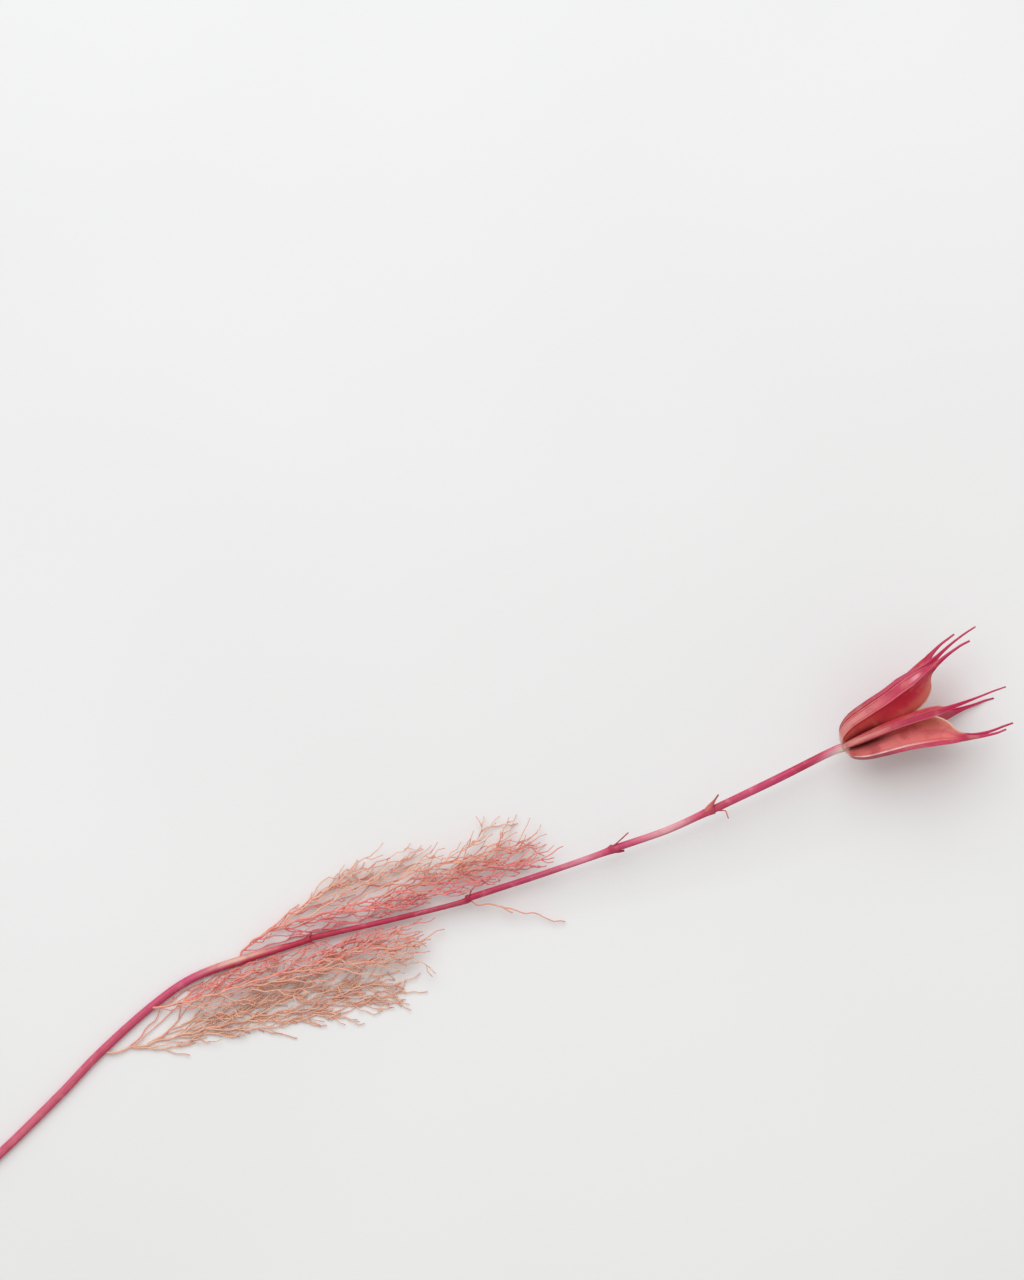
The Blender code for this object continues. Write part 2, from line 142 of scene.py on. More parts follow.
def smooth_loop(rows: Sequence[Sequence[float]], per_span: int) -> list[list[float]]:
    """Refines a closed round of rows, as smooth_rows does an open one.

    Args:
        rows: the rows, where the last is followed by the first.
        per_span: how many steps to make between each two.

    Returns:
        The refined rows, once round.
    """
    count = len(rows)
    refined = []
    for index in range(count):
        four_rows = [rows[(index + step) % count] for step in (-1, 0, 1, 2)]
        for step in range(per_span):
            refined.append([catmull_rom(*four, step / per_span) for four in zip(*four_rows)])
    return refined


# The object's own tables, as its solids have them.

POD_FOOT = Vector((96.97, -6.05, 10.9))
POD_TILT = math.radians(4.0)


def on_object(back: float, side: float, height: float) -> Vector:
    """The point of the object, in mm, for a place given back from the pod's foot."""
    return Vector((POD_FOOT.x - back, POD_FOOT.y + side, height))


class Station(NamedTuple):
    """A section of a follicle: its back and its seam, along the axis and out from it, and half-widths."""

    back_along: float
    back_out: float
    seam_along: float
    seam_out: float
    band: float
    belly: float
    seam: float


STATIONS = (
    Station(-0.05, 0.9, 0.3, -0.1, 0.45, 0.50, 0.45),
    Station(0.30, 2.4, 0.8, -0.1, 0.60, 0.65, 0.50),
    Station(1.50, 4.3, 1.8, -0.1, 0.72, 0.85, 0.50),
    Station(4.4, 5.9, 4.2, -0.1, 0.82, 1.05, 0.52),
    Station(9.0, 6.9, 8.6, -0.1, 0.95, 1.20, 0.52),
    Station(14.0, 7.75, 13.6, 0.0, 1.12, 1.20, 0.50),
    Station(18.0, 8.75, 18.5, 0.85, 1.30, 1.10, 0.45),
    Station(21.2, 9.6, 22.4, 2.55, 1.42, 0.98, 0.42),
    Station(23.6, 10.3, 24.8, 5.3, 1.32, 0.82, 0.40),
    Station(25.2, 10.75, 25.75, 8.0, 1.05, 0.66, 0.38),
    Station(26.9, 11.15, 27.15, 9.75, 0.72, 0.50, 0.36),
    Station(29.3, 11.7, 29.3, 10.9, 0.44, 0.40, 0.34),
    Station(33.0, 12.45, 33.0, 11.78, 0.34, 0.34, 0.31),
    Station(37.0, 12.95, 37.0, 12.32, 0.31, 0.31, 0.30),
    Station(40.2, 13.05, 40.2, 12.47, 0.30, 0.30, 0.29),
)


class Follicle(NamedTuple):
    """One follicle: where it stands round the axis, how full and broad it is, and how its beak runs."""

    angle: float       # round the axis at the foot, in degrees
    twist: float       # and how much more at the shoulder
    fullness: float    # how far its back stands out low down, as a share
    broad_low: float   # width of its band low down and
    broad_high: float  # high up, as shares
    roll: float        # how far its sides turn about its back, in degrees
    flare: float       # how much further out its shoulder stands, mm
    reach: float       # where its beak ends along the axis, mm
    spread: float      # how far outwards,
    lean: float        # aside
    hook: float        # and aside at its very tip the beak bends, mm


FOLLICLES = (
    Follicle(3.5, -14.0, 1.00, 0.80, 0.62, 0.0, 0.0, 41.3, 0.2, -0.5, -0.2),
    Follicle(46.0, 8.0, 1.05, 1.50, 1.12, 16.0, -0.6, 38.0, 1.5, -1.3, -0.3),
    Follicle(78.0, 5.0, 1.11, 1.22, 1.02, 10.0, -1.3, 40.2, 1.1, 0.0, 0.0),
    Follicle(122.0, -15.0, 1.05, 1.00, 1.00, 0.0, 0.35, 34.7, 0.2, 0.0, -0.7),
    Follicle(196.0, 3.0, 1.00, 1.00, 1.00, 0.0, 0.0, 36.2, 1.45, -0.4, 0.3),
    Follicle(246.0, 3.0, 0.87, 1.00, 1.00, 0.0, 0.0, 38.4, -0.9, 0.3, 0.9),
    Follicle(298.0, -4.0, 0.87, 1.06, 1.05, 0.0, 0.1, 36.8, 0.5, 0.0, 0.3),
)


class Knot(NamedTuple):
    """A point on the stem's centre line, from the pod's foot, with the stem's thickness there."""

    back: float
    side: float
    height: float
    thick: float


STEM_KNOTS = (
    Knot(0.0, 0.0, 10.9, 2.2),
    Knot(4.0, 0.25, 10.62, 1.95),
    Knot(17.0, -0.14, 9.7, 2.0),
    Knot(31.6, -0.30, 8.65, 1.9),
    Knot(33.7, -0.20, 8.5, 2.5),
    Knot(36.8, -0.26, 8.27, 1.85),
    Knot(46.0, -0.16, 7.6, 1.7),
    Knot(57.4, 1.05, 6.78, 1.8),
    Knot(59.0, 1.22, 6.66, 2.3),
    Knot(62.4, 1.38, 6.42, 1.6),
    Knot(78.0, 3.0, 5.35, 1.5),
    Knot(92.6, 4.8, 4.35, 1.6),
    Knot(94.5, 4.98, 4.2, 2.0),
    Knot(97.4, 5.0, 4.0, 1.3),
    Knot(113.0, 8.05, 2.95, 1.3),
    Knot(130.4, 11.8, 1.87, 1.4),
    Knot(132.4, 12.15, 1.75, 1.8),
    Knot(135.2, 12.3, 1.6, 1.4),
    Knot(147.1, 14.1, 1.1, 2.05),
    Knot(161.0, 15.4, 0.86, 1.95),
    Knot(173.0, 13.4, 0.86, 1.95),
    Knot(188.7, 8.6, 0.88, 2.0),
    Knot(201.5, 3.6, 0.91, 2.05),
    Knot(219.0, -2.6, 0.94, 2.1),
    Knot(234.6, -7.4, 0.94, 2.1),
)


class Side(Enum):
    """The side of the stem that a leaf stays on, as a sign of y."""

    LEFT = 1
    RIGHT = -1


class LeafShape(NamedTuple):
    """A dried leaf: the place where it leaves the stem, its main thread, and how it forks."""

    name: str
    foot: tuple[float, float, float]
    route: tuple[tuple[float, float, float], ...]  # places back from the pod's foot, aside and up, mm
    side: Side
    low: float                  # how low and
    high: float                 # how high its forks come, mm
    forks: int
    fork_length: float
    seed: int
    tones: Pair  # from beige, 0, to pink, 1
    fine: bool                  # whether it carries strands and tips that are too fine for the solid
    end_back: float             # how near the pod those come
    edge: float                 # and how far out from the pod's axis, there


LEAVES = (
    LeafShape("leaf_upper", (149.5, 14.6, 1.2),
              ((148.0, 16.4, 1.5), (139.0, 17.8, 3.0), (119.0, 15.0, 4.4), (99.0, 11.6, 3.8),
               (82.0, 9.4, 4.2)),
              Side.LEFT, 0.4, 6.4, 17, 31.0, 18, (0.1, 1.0), True, 70.0, 40.0),
    LeafShape("leaf_middle", (173.0, 13.2, 1.3),
              ((171.5, 12.5, 2.5), (161.0, 10.0, 3.6), (138.0, 7.0, 4.0), (124.0, 4.6, 4.6),
               (117.0, 3.2, 3.6)),
              Side.RIGHT, 2.5, 6.0, 14, 25.0, 15, (0.0, 0.75), True, 107.0, 18.0),
    LeafShape("leaf_lower", (187.6, 8.8, 0.9),
              ((186.0, 7.4, 0.95), (174.0, 5.0, 0.8), (156.0, 1.6, 0.9), (140.0, -1.6, 0.8),
               (126.0, -4.6, 1.2)),
              Side.RIGHT, 0.45, 1.4, 13, 24.0, 15, (0.0, 0.6), True, 112.0, 17.0),
    LeafShape("leaf_thread", (94.5, 4.5, 4.0),
              ((93.6, 2.9, 3.6), (88.7, 0.3, 3.0), (85.4, -2.6, 2.4), (81.6, -5.4, 1.8), (78.8, -8.3, 1.2),
               (76.4, -9.9, 0.9)),
              Side.RIGHT, 0.6, 3.8, 1, 4.2, 47, (0.1, 0.4), False, 0.0, 40.0),
)


# Nodes of shaders.

class Reading(Enum):
    """The numbers that a skin carries, which masks read."""

    ACROSS = "across"
    ALONG = "along"
    TONE = "tone"
    MARK = "mark"


Readings = dict[Reading, Socket]


class Mask(NamedTuple):
    """A soft mask on one reading: a step from first to second, or a band of a centre and a reach."""

    reading: Reading
    first: float
    second: float
    band: bool = False
    floor: float = 0.0  # added everywhere, up to 1


class Layer(NamedTuple):
    """A colour laid over a skin, as strongly as its masks let it."""

    colour: Colour
    strength: float
    masks: tuple[Mask, ...]


class NodeBoard:
    """Places and joins the nodes of one material or node group."""

    columns: int = 8
    column_width: int = 220
    row_height: int = 260

    def __init__(self, tree: Tree) -> None:
        """Starts on an empty tree."""
        self.tree = tree
        self.count = 0

    def add(self, kind: str, inputs: dict[str, object] | None = None, **settings: object) -> Node:
        """Adds a node.

        Args:
            kind: Blender's name of the node's type.
            inputs: what goes into its inputs, by their names.
            settings: properties to set on it.

        Returns:
            The node.
        """
        node = self.tree.nodes.new(kind)
        row, column = divmod(self.count, self.columns)
        node.location = (self.column_width * column, -self.row_height * row)
        self.count += 1
        for name, value in settings.items():
            setattr(node, name, value)
        self.fill(node, inputs or {})
        return node

    def feed(self, socket: Socket, value: object) -> None:
        """Joins another socket to this one, or sets it to a plain value.

        Args:
            socket: the input.
            value: a socket or a plain value.
        """
        if isinstance(value, Socket):
            self.tree.links.new(value, socket)
        else:
            socket.default_value = value

    def fill(self, node: Node, inputs: dict[str, object]) -> None:
        """Feeds several inputs of a node, given by their names."""
        for name, value in inputs.items():
            self.feed(node.inputs[name], value)

    def math(self, operation: str, first: object, second: object = 0.0,
             clamp: bool = False) -> Socket:
        """Works out a number from one or two others.

        Args:
            operation: the sum to do, such as ADD.
            first: a socket or a number.
            second: a socket or a number.
            clamp: whether to hold the result between 0 and 1.

        Returns:
            The result's socket.
        """
        node = self.add("ShaderNodeMath", operation=operation, use_clamp=clamp)
        self.feed(node.inputs[0], first)
        self.feed(node.inputs[1], second)
        return node.outputs[0]

    def times(self, first: object, *others: object) -> object:
        """Multiplies numbers.

        Args:
            first: a socket or a number.
            others: more of them.

        Returns:
            The product's socket, or the first where it is alone.
        """
        product = first
        for factor in others:
            product = self.math("MULTIPLY", product, factor)
        return product

    def step(self, value: object, low: float, high: float) -> Socket:
        """A smooth step of a number.

        Args:
            value: the number, a socket.
            low: where the step is 0.
            high: where it is 1; below low for a step that falls.

        Returns:
            The step's socket.
        """
        inputs = {"Value": value, "From Min": low, "From Max": high}
        return self.add("ShaderNodeMapRange", inputs, interpolation_type="SMOOTHSTEP").outputs["Result"]

    def near(self, value: object, centre: float, reach: float) -> Socket:
        """A mask that is 1 where a number is at the centre and 0 from reach away on."""
        away = self.math("ABSOLUTE", self.math("SUBTRACT", value, centre))
        return self.math("SUBTRACT", 1.0, self.step(away, 0.0, reach))

    def mix(self, factor: object, first: object, second: object) -> Socket:
        """Mixes two colours.

        Args:
            factor: how much of the second, a socket or a number.
            first: a socket or a linear colour.
            second: a socket or a linear colour.

        Returns:
            The mixed colour's socket.
        """
        node = self.add("ShaderNodeMix", data_type="RGBA", clamp_factor=True)
        for number, value in ((0, factor), (6, first), (7, second)):
            self.feed(node.inputs[number], value)
        return node.outputs[2]

    def ramp(self, factor: object, stops: Stops, reach: float = 1.0) -> Socket:
        """Runs through colours as a number rises.

        Args:
            factor: the number, a socket.
            stops: places, up to reach, and the screen colours there.
            reach: the number at the ramp's far end.

        Returns:
            The colour's socket.
        """
        node = self.add("ShaderNodeValToRGB", {"Fac": self.math("DIVIDE", factor, reach)})
        elements = node.color_ramp.elements
        while len(elements) < len(stops):
            elements.new(1.0)
        for element, (place, colour) in zip(elements, stops):
            element.position = place / reach
            element.color = linear(colour)
        return node.outputs["Color"]

    def noise(self, vector: Socket, scale: object, detail: float) -> Socket:
        """Smooth random values at places, from 0 to 1.

        Args:
            vector: the places, a socket.
            scale: how many changes to one unit, a socket or a number.
            detail: how many finer noises are laid over the first.

        Returns:
            The value's socket.
        """
        inputs = {"Vector": vector, "Scale": scale, "Detail": detail}
        return self.add("ShaderNodeTexNoise", inputs).outputs[0]

    def lay(self, colour: Socket, layers: Sequence[Layer],
            readings: Readings) -> Socket:
        """Lays colours over another, each over the ones before it.

        Args:
            colour: the colour below them.
            layers: the colours, with their masks.
            readings: the sockets that the masks read.

        Returns:
            The socket of the colour that shows.
        """
        for layer in layers:
            masks = []
            for mask in layer.masks:
                shape = self.near if mask.band else self.step
                masks.append(shape(readings[mask.reading], mask.first, mask.second))
                if mask.floor:
                    masks[-1] = self.math("ADD", masks[-1], mask.floor, clamp=True)
            colour = self.mix(self.times(*masks, layer.strength), colour, linear(layer.colour))
        return colour


class SkinGroups:
    """The effects that the pod, the stem and the leaves share, each built once as a node group."""

    deep_over: Pair = (0.52, 0.72)
    pale_under: Pair = (0.48, 0.28)
    mottle_over: Pair = (0.5, 0.75)
    mottle_share: float = 0.5
    mottle_scale: float = 2600.0
    streak_over: Pair = (0.48, 0.66)
    roughness_play: float = 0.35
    tone_spread: float = 31.0  # how far apart in the noise two tones lie
    crease_scale: tuple[float, float, float] = (0.22, 9.0, 1.0)

    def __init__(self) -> None:
        """Builds the groups."""
        self.dye = self._dye()
        self.fibre = self._fibre()

    @staticmethod
    def _start(name: str, colours: Sequence[str], vector: str, numbers: Sequence[str],
               given: str) -> tuple[Tree, Node, Node]:
        """Starts a group that takes colours, a vector and numbers, and gives a colour and a number.

        Args:
            name: the group's name.
            colours: the names of the colours that come in.
            vector: the name of the vector that comes in.
            numbers: the names of the numbers that come in.
            given: the name of the number that goes out, beside Color.

        Returns:
            The group, and its nodes where the inputs come in and the outputs go out.
        """
        tree = bpy.data.node_groups.new(name, "ShaderNodeTree")
        kinds = [(colour, "INPUT", "Color") for colour in colours]
        kinds += [(vector, "INPUT", "Vector")]
        kinds += [(number, "INPUT", "Float") for number in numbers]
        kinds += [("Color", "OUTPUT", "Color"), (given, "OUTPUT", "Float")]
        for label, way, kind in kinds:
            tree.interface.new_socket(name=label, in_out=way, socket_type=f"NodeSocket{kind}")
        return tree, tree.nodes.new("NodeGroupInput"), tree.nodes.new("NodeGroupOutput")

    def _dye(self) -> Tree:
        """Dye that took unevenly: soft blotches of a deeper and a paler colour, and fine mottles.

        Returns:
            The group.
        """
        tree, into, out = self._start("uneven dye", ("Color", "Deep", "Pale"), "Place",
                                      ("Blotch Size", "Amount"), "Roughness Shift")
        board = NodeBoard(tree)
        amount = into.outputs["Amount"]
        blotch = board.noise(into.outputs["Place"], into.outputs["Blotch Size"], 3.0)
        mottle = board.noise(into.outputs["Place"], self.mottle_scale, 2.0)
        deep = board.times(board.step(blotch, *self.deep_over), amount)
        pale = board.times(board.step(blotch, *self.pale_under), amount)
        fine = board.times(board.step(mottle, *self.mottle_over), amount, self.mottle_share)
        colour = board.mix(deep, into.outputs["Color"], into.outputs["Deep"])
        colour = board.mix(pale, colour, into.outputs["Pale"])
        colour = board.mix(fine, colour, into.outputs["Deep"])
        shift = board.times(board.math("SUBTRACT", blotch, 0.5), self.roughness_play)
        board.fill(out, {"Color": colour, "Roughness Shift": shift})
        return tree

    def _fibre(self) -> Tree:
        """Fibres that run along a dried skin: fine streaks of colour and low ridges.

        Returns:
            The group.
        """
        tree, into, out = self._start("dried fibres", ("Color", "Streak"), "Surface",
                                      ("Across", "Along", "Amount", "Wrinkles"), "Height")
        board = NodeBoard(tree)
        parts = board.add("ShaderNodeSeparateXYZ", {"Vector": into.outputs["Surface"]})
        place = board.add("ShaderNodeCombineXYZ", {
            "X": board.times(parts.outputs["X"], into.outputs["Across"]),
            "Y": board.times(parts.outputs["Y"], into.outputs["Along"]),
            "Z": board.times(parts.outputs["Z"], self.tone_spread)})
        streak = board.noise(place.outputs[0], 1.0, 4.0)
        creased = board.add("ShaderNodeMapping", {"Vector": place.outputs[0], "Scale": self.crease_scale})
        wrinkle = board.noise(creased.outputs["Vector"], 1.0, 3.0)
        shade = board.times(board.step(streak, *self.streak_over), into.outputs["Amount"])
        height = board.math("ADD", streak, board.times(wrinkle, into.outputs["Wrinkles"]))
        board.fill(out, {"Color": board.mix(shade, into.outputs["Color"], into.outputs["Streak"]),
                         "Height": height})
        return tree


# Finishes. A stop is a place along the skin and the colour there.

@dataclass(frozen=True)
class SkinFinish:
    """What every finish here has: its name, its shine, and how strongly its fibres and blotches show."""

    name: str
    deep: Colour
    pale: Colour
    streak: Colour
    roughness: float = 0.5
    specular: float = 0.4
    blotch_scale: float = 260.0  # blotches in a metre
    blotches: float = 0.35
    streaks: float = 0.35
    wrinkles: float = 0.25
    across: float = 14.0  # how fine the fibres are across
    along: float = 3.0  # and along the skin
    relief: float = 0.06  # height of the fibres, mm
    glow: float = 0.0  # how much light spreads inside the skin
    glow_reach: float = 0.8  # and how far, mm
    glow_tint: Colour = (1.0, 0.7, 0.6)  # and how far each of red, green and blue goes, as a share

    def paint(self, board: NodeBoard, readings: Readings) -> Socket:
        """Gives the skin's own colour; a finish says how.

        Args:
            board: the material's nodes.
            readings: the sockets of across, along and tone.

        Returns:
            The colour's socket.
        """
        raise NotImplementedError

    def build(self, groups: SkinGroups) -> Material:
        """Makes the material.

        Args:
            groups: the shared node groups.

        Returns:
            The material.
        """
        material = bpy.data.materials.new(self.name)
        material.use_nodes = True
        material.diffuse_color = linear(self.deep)
        board = NodeBoard(material.node_tree)
        surface = board.add("ShaderNodeAttribute", attribute_name=SURFACE).outputs["Vector"]
        parts = board.add("ShaderNodeSeparateXYZ", {"Vector": surface})
        readings = dict(zip((Reading.ACROSS, Reading.ALONG, Reading.TONE), parts.outputs))
        dye = board.add("ShaderNodeGroup", node_tree=groups.dye)
        board.fill(dye, {"Color": self.paint(board, readings), "Deep": linear(self.deep),
                         "Pale": linear(self.pale), "Blotch Size": self.blotch_scale,
                         "Place": board.add("ShaderNodeTexCoord").outputs["Object"],
                         "Amount": self.blotches})
        fibre = board.add("ShaderNodeGroup", node_tree=groups.fibre)
        board.fill(fibre, {"Color": dye.outputs["Color"], "Streak": linear(self.streak), "Surface": surface,
                           "Across": self.across, "Along": self.along, "Amount": self.streaks,
                           "Wrinkles": self.wrinkles})
        bump = board.add("ShaderNodeBump", {"Distance": self.relief * MM, "Strength": 1.0,
                                            "Height": fibre.outputs["Height"]})
        board.fill(material.node_tree.nodes["Principled BSDF"], {
            "Base Color": fibre.outputs["Color"],
            "Roughness": board.math("ADD", dye.outputs["Roughness Shift"], self.roughness, clamp=True),
            "Normal": bump.outputs["Normal"],
            "Specular IOR Level": self.specular,
            "Subsurface Weight": self.glow,
            "Subsurface Scale": self.glow_reach * MM,
            "Subsurface Radius": self.glow_tint})
        return material


@dataclass(frozen=True)
class PodFinish(SkinFinish):
    """The pod's papery skin: bands, nerves, sides, lips and beaks, each in its own dyed colour, with
    painted light and shade laid over them.

    Across is 0 on the back of a follicle, 1 at the edge of its band and 2 on its seam. Along is 0 at the
    foot and 1 where the beak starts. The tone is how pale the band is, and 1 more on a marked follicle,
    whose nerves stand out and whose band and side are lifted by painted light.
    """

    pale_band: Stops = (
        (0.00, (0.86, 0.53, 0.51)),
        (0.18, (0.88, 0.58, 0.55)),
        (0.38, (0.87, 0.53, 0.52)),
        (0.52, (0.81, 0.36, 0.42)),
        (0.66, (0.75, 0.22, 0.35)),
        (0.85, (0.78, 0.25, 0.38)),
        (1.00, (0.75, 0.18, 0.35)),
        (1.15, (0.72, 0.12, 0.31)),
    )
    deep_band: Stops = (
        (0.00, (0.66, 0.34, 0.34)),
        (0.20, (0.66, 0.25, 0.31)),
        (0.45, (0.71, 0.18, 0.31)),
        (0.80, (0.74, 0.16, 0.32)),
        (1.15, (0.72, 0.12, 0.31)),
    )
    flank: Stops = (
        (0.00, (0.86, 0.46, 0.40)),
        (0.20, (0.85, 0.39, 0.36)),
        (0.45, (0.82, 0.29, 0.33)),
        (0.70, (0.79, 0.20, 0.30)),
        (0.95, (0.79, 0.25, 0.33)),
        (1.15, (0.75, 0.17, 0.31)),
    )
    beak: Stops = (
        (0.90, (0.76, 0.16, 0.34)),
        (1.10, (0.75, 0.13, 0.33)),
        (1.35, (0.78, 0.20, 0.38)),
        (1.58, (0.76, 0.27, 0.41)),
    )
    reach: float = 1.6
    mark_step: Pair = (0.99, 1.01)
    band_edge: Pair = (0.96, 1.06)
    beak_edge: Pair = (0.94, 1.08)
    # Painted highlight: a pale pink glint high on the palest band, near its shoulder.
    painted_highlight: Layer = Layer((0.95, 0.70, 0.74), 0.7, (
        Mask(Reading.ALONG, 0.87, 0.10, band=True), Mask(Reading.TONE, 0.85, 0.06, band=True),
        Mask(Reading.ACROSS, 0.62, 0.25)))
    ridges: Layer = Layer((0.74, 0.22, 0.30), 0.75, (
        Mask(Reading.TONE, 0.5, 0.65), Mask(Reading.ACROSS, 0.38, 0.72), Mask(Reading.ALONG, 0.04, 0.22)))
    # Painted light: brightens the band of the marked follicle, which lies in shade, from a third of the way
    # up.
    painted_light_band: Layer = Layer((1.0, 0.22, 0.43), 0.8, (
        Mask(Reading.MARK, 0.0, 1.0), Mask(Reading.ALONG, 0.25, 0.6)))
    # Painted light: lifts the shaded side of the marked follicle to a lit coral, half as much near the
    # foot, up to the shoulder.
    painted_light_flank: Layer = Layer((1.0, 0.58, 0.56), 0.85, (
        Mask(Reading.MARK, 0.0, 1.0), Mask(Reading.ALONG, 1.05, 0.85),
        Mask(Reading.ALONG, 0.2, 0.5, floor=0.5)))
    inner_flank: Layer = Layer((0.87, 0.54, 0.46), 0.8, (
        Mask(Reading.ACROSS, 1.40, 1.80), Mask(Reading.ALONG, 0.2, 0.9), Mask(Reading.TONE, 0.06, 0.15)))
    # Painted shade: near-black red deep in the groove between follicles, in their lower half.
    painted_groove_shade: Layer = Layer((0.33, 0.04, 0.04), 0.92, (
        Mask(Reading.ACROSS, 1.32, 1.62), Mask(Reading.ALONG, 0.56, 0.25)))
    # Painted shade: a darker crimson line along the crease where the band folds into the side.
    painted_crease_shade: Layer = Layer((0.70, 0.14, 0.26), 0.4, (Mask(Reading.ACROSS, 1.12, 0.10, band=True),))
    nerve: Layer = Layer((0.97, 0.72, 0.73), 0.25, (Mask(Reading.ACROSS, 0.86, 0.12, band=True),))
    pale_nerve: Layer = Layer((1.0, 0.88, 0.86), 1.0, (
        Mask(Reading.ACROSS, 1.04, 0.13, band=True), Mask(Reading.ALONG, 0.03, 0.12),
        Mask(Reading.MARK, 0.0, 1.0), Mask(Reading.ALONG, 0.85, 0.45)))
    lip: Layer = Layer((0.98, 0.84, 0.75), 0.95, (
        Mask(Reading.ACROSS, 1.84, 1.95), Mask(Reading.ALONG, 0.45, 0.8), Mask(Reading.TONE, 0.06, 0.15)))
    foot: Layer = Layer((0.93, 0.76, 0.71), 1.0, (Mask(Reading.ALONG, 0.045, 0.01),))

    def paint(self, board: NodeBoard, readings: Readings) -> Socket:
        """Lays the colours of the follicle's parts over one another, among them a painted highlight,
        painted light on the marked follicle and painted shade in the crease and the groove.

        Args:
            board: the material's nodes.
            readings: the sockets of across, along and tone, as this class gives them.

        Returns:
            The colour's socket.
        """
        across, along, tone = readings.values()
        mark = board.step(tone, *self.mark_step)
        pallor = board.math("SUBTRACT", tone, mark)
        readings = {**readings, Reading.TONE: pallor, Reading.MARK: mark}
        band = board.mix(pallor, board.ramp(along, self.deep_band, self.reach),
                         board.ramp(along, self.pale_band, self.reach))
        band = board.lay(band, (self.painted_highlight, self.ridges, self.painted_light_band), readings)
        flank = board.ramp(along, self.flank, self.reach)
        flank = board.lay(flank, (self.painted_light_flank, self.inner_flank, self.painted_groove_shade), readings)
        colour = board.mix(board.step(across, *self.band_edge), band, flank)
        colour = board.lay(colour, (self.painted_crease_shade, self.nerve, self.pale_nerve, self.lip), readings)
        beak = board.ramp(along, self.beak, self.reach)
        colour = board.mix(board.step(along, *self.beak_edge), colour, beak)
        return board.lay(colour, (self.foot,), readings)


@dataclass(frozen=True)
class StemFinish(SkinFinish):
    """The stem's skin: dyed pink in stretches between the joints and pale where the dye ran thin, with
    painted shade on its side away from the light.

    Across is the side, from -1 to 1. Along is mm back from the pod. The tone is 0.5 on the stem, 1 to 2
    on a stub and -1 on the pith.
    """

    lengthwise: Stops = (
        (0.0, (0.90, 0.78, 0.74)),
        (2.0, (0.86, 0.62, 0.66)),
        (4.0, (0.84, 0.48, 0.55)),
        (6.5, (0.78, 0.28, 0.40)),
        (10.0, (0.72, 0.20, 0.33)),
        (14.0, (0.79, 0.24, 0.39)),
        (18.0, (0.78, 0.27, 0.42)),
        (24.0, (0.82, 0.32, 0.46)),
        (30.0, (0.77, 0.28, 0.40)),
        (34.0, (0.78, 0.32, 0.40)),
        (37.5, (0.82, 0.30, 0.42)),
        (41.0, (0.87, 0.56, 0.61)),
        (46.0, (0.90, 0.66, 0.68)),
        (52.0, (0.85, 0.44, 0.54)),
        (57.0, (0.78, 0.27, 0.42)),
        (62.0, (0.81, 0.34, 0.45)),
        (66.0, (0.87, 0.55, 0.62)),
        (72.0, (0.80, 0.40, 0.49)),
        (80.0, (0.75, 0.27, 0.40)),
        (88.0, (0.73, 0.22, 0.35)),
        (93.0, (0.74, 0.17, 0.31)),
        (98.0, (0.70, 0.28, 0.36)),
        (108.0, (0.71, 0.18, 0.30)),
        (120.0, (0.76, 0.22, 0.34)),
        (132.0, (0.72, 0.18, 0.27)),
        (136.0, (0.72, 0.16, 0.26)),
        (141.0, (0.78, 0.24, 0.36)),
        (147.0, (0.76, 0.24, 0.34)),
        (160.0, (0.80, 0.32, 0.46)),
        (185.0, (0.80, 0.34, 0.44)),
        (210.0, (0.82, 0.40, 0.48)),
        (235.0, (0.80, 0.36, 0.46)),
    )
    reach: float = 240.0
    stub: Stops = (
        (1.0, (0.87, 0.52, 0.42)),
        (1.4, (0.83, 0.40, 0.42)),
        (2.0, (0.58, 0.14, 0.22)),
    )
    stub_step: Pair = (0.6, 0.95)
    side_lead: float = 2.4  # how far ahead the dye runs on one side near the pod, mm
    lead_step: Pair = (14.0, 7.0)
    cream: Layer = Layer((0.93, 0.80, 0.70), 0.7, (
        Mask(Reading.ALONG, 150.0, 13.0, band=True), Mask(Reading.ACROSS, -0.6, 0.2)))
    # Painted shade: deeper crimson on the stem's side away from the light, growing from 22 mm back and full
    # from 34 mm to the cut.
    shade: Layer = Layer((0.72, 0.20, 0.34), 0.5, (
        Mask(Reading.ACROSS, -0.35, -0.9), Mask(Reading.ALONG, 22.0, 34.0)))
    joint: Colour = (0.62, 0.12, 0.22)
    joint_reach: float = 1.3
    joints: tuple[Pair, ...] = ((34.0, 0.25), (59.3, 0.5), (95.0, 0.75), (132.9, 0.55))
    pith: Layer = Layer((0.93, 0.88, 0.78), 1.0, (Mask(Reading.TONE, -0.5, -1.0),))

    def paint(self, board: NodeBoard, readings: Readings) -> Socket:
        """Runs the dye along the stem, deeper on one side near the pod, with painted shade on the side away
        from the light and dark spots at the joints.

        Args:
            board: the material's nodes.
            readings: the sockets of across, along and tone, as this class gives them.

        Returns:
            The colour's socket.
        """
        side, back, tone = readings.values()
        lead = board.times(side, board.step(back, *self.lead_step), self.side_lead)
        place = board.math("MAXIMUM", board.math("ADD", back, lead), 0.0)
        rings = [Layer(self.joint, strength, (Mask(Reading.ALONG, joint, self.joint_reach, band=True),))
                 for joint, strength in self.joints]
        colour = board.ramp(place, self.lengthwise, self.reach)
        colour = board.lay(colour, (self.cream, self.shade, *rings), readings)
        stub = board.ramp(tone, self.stub, self.stub[-1][0])
        colour = board.mix(board.step(tone, *self.stub_step), colour, stub)
        return board.lay(colour, (self.pith,), readings)


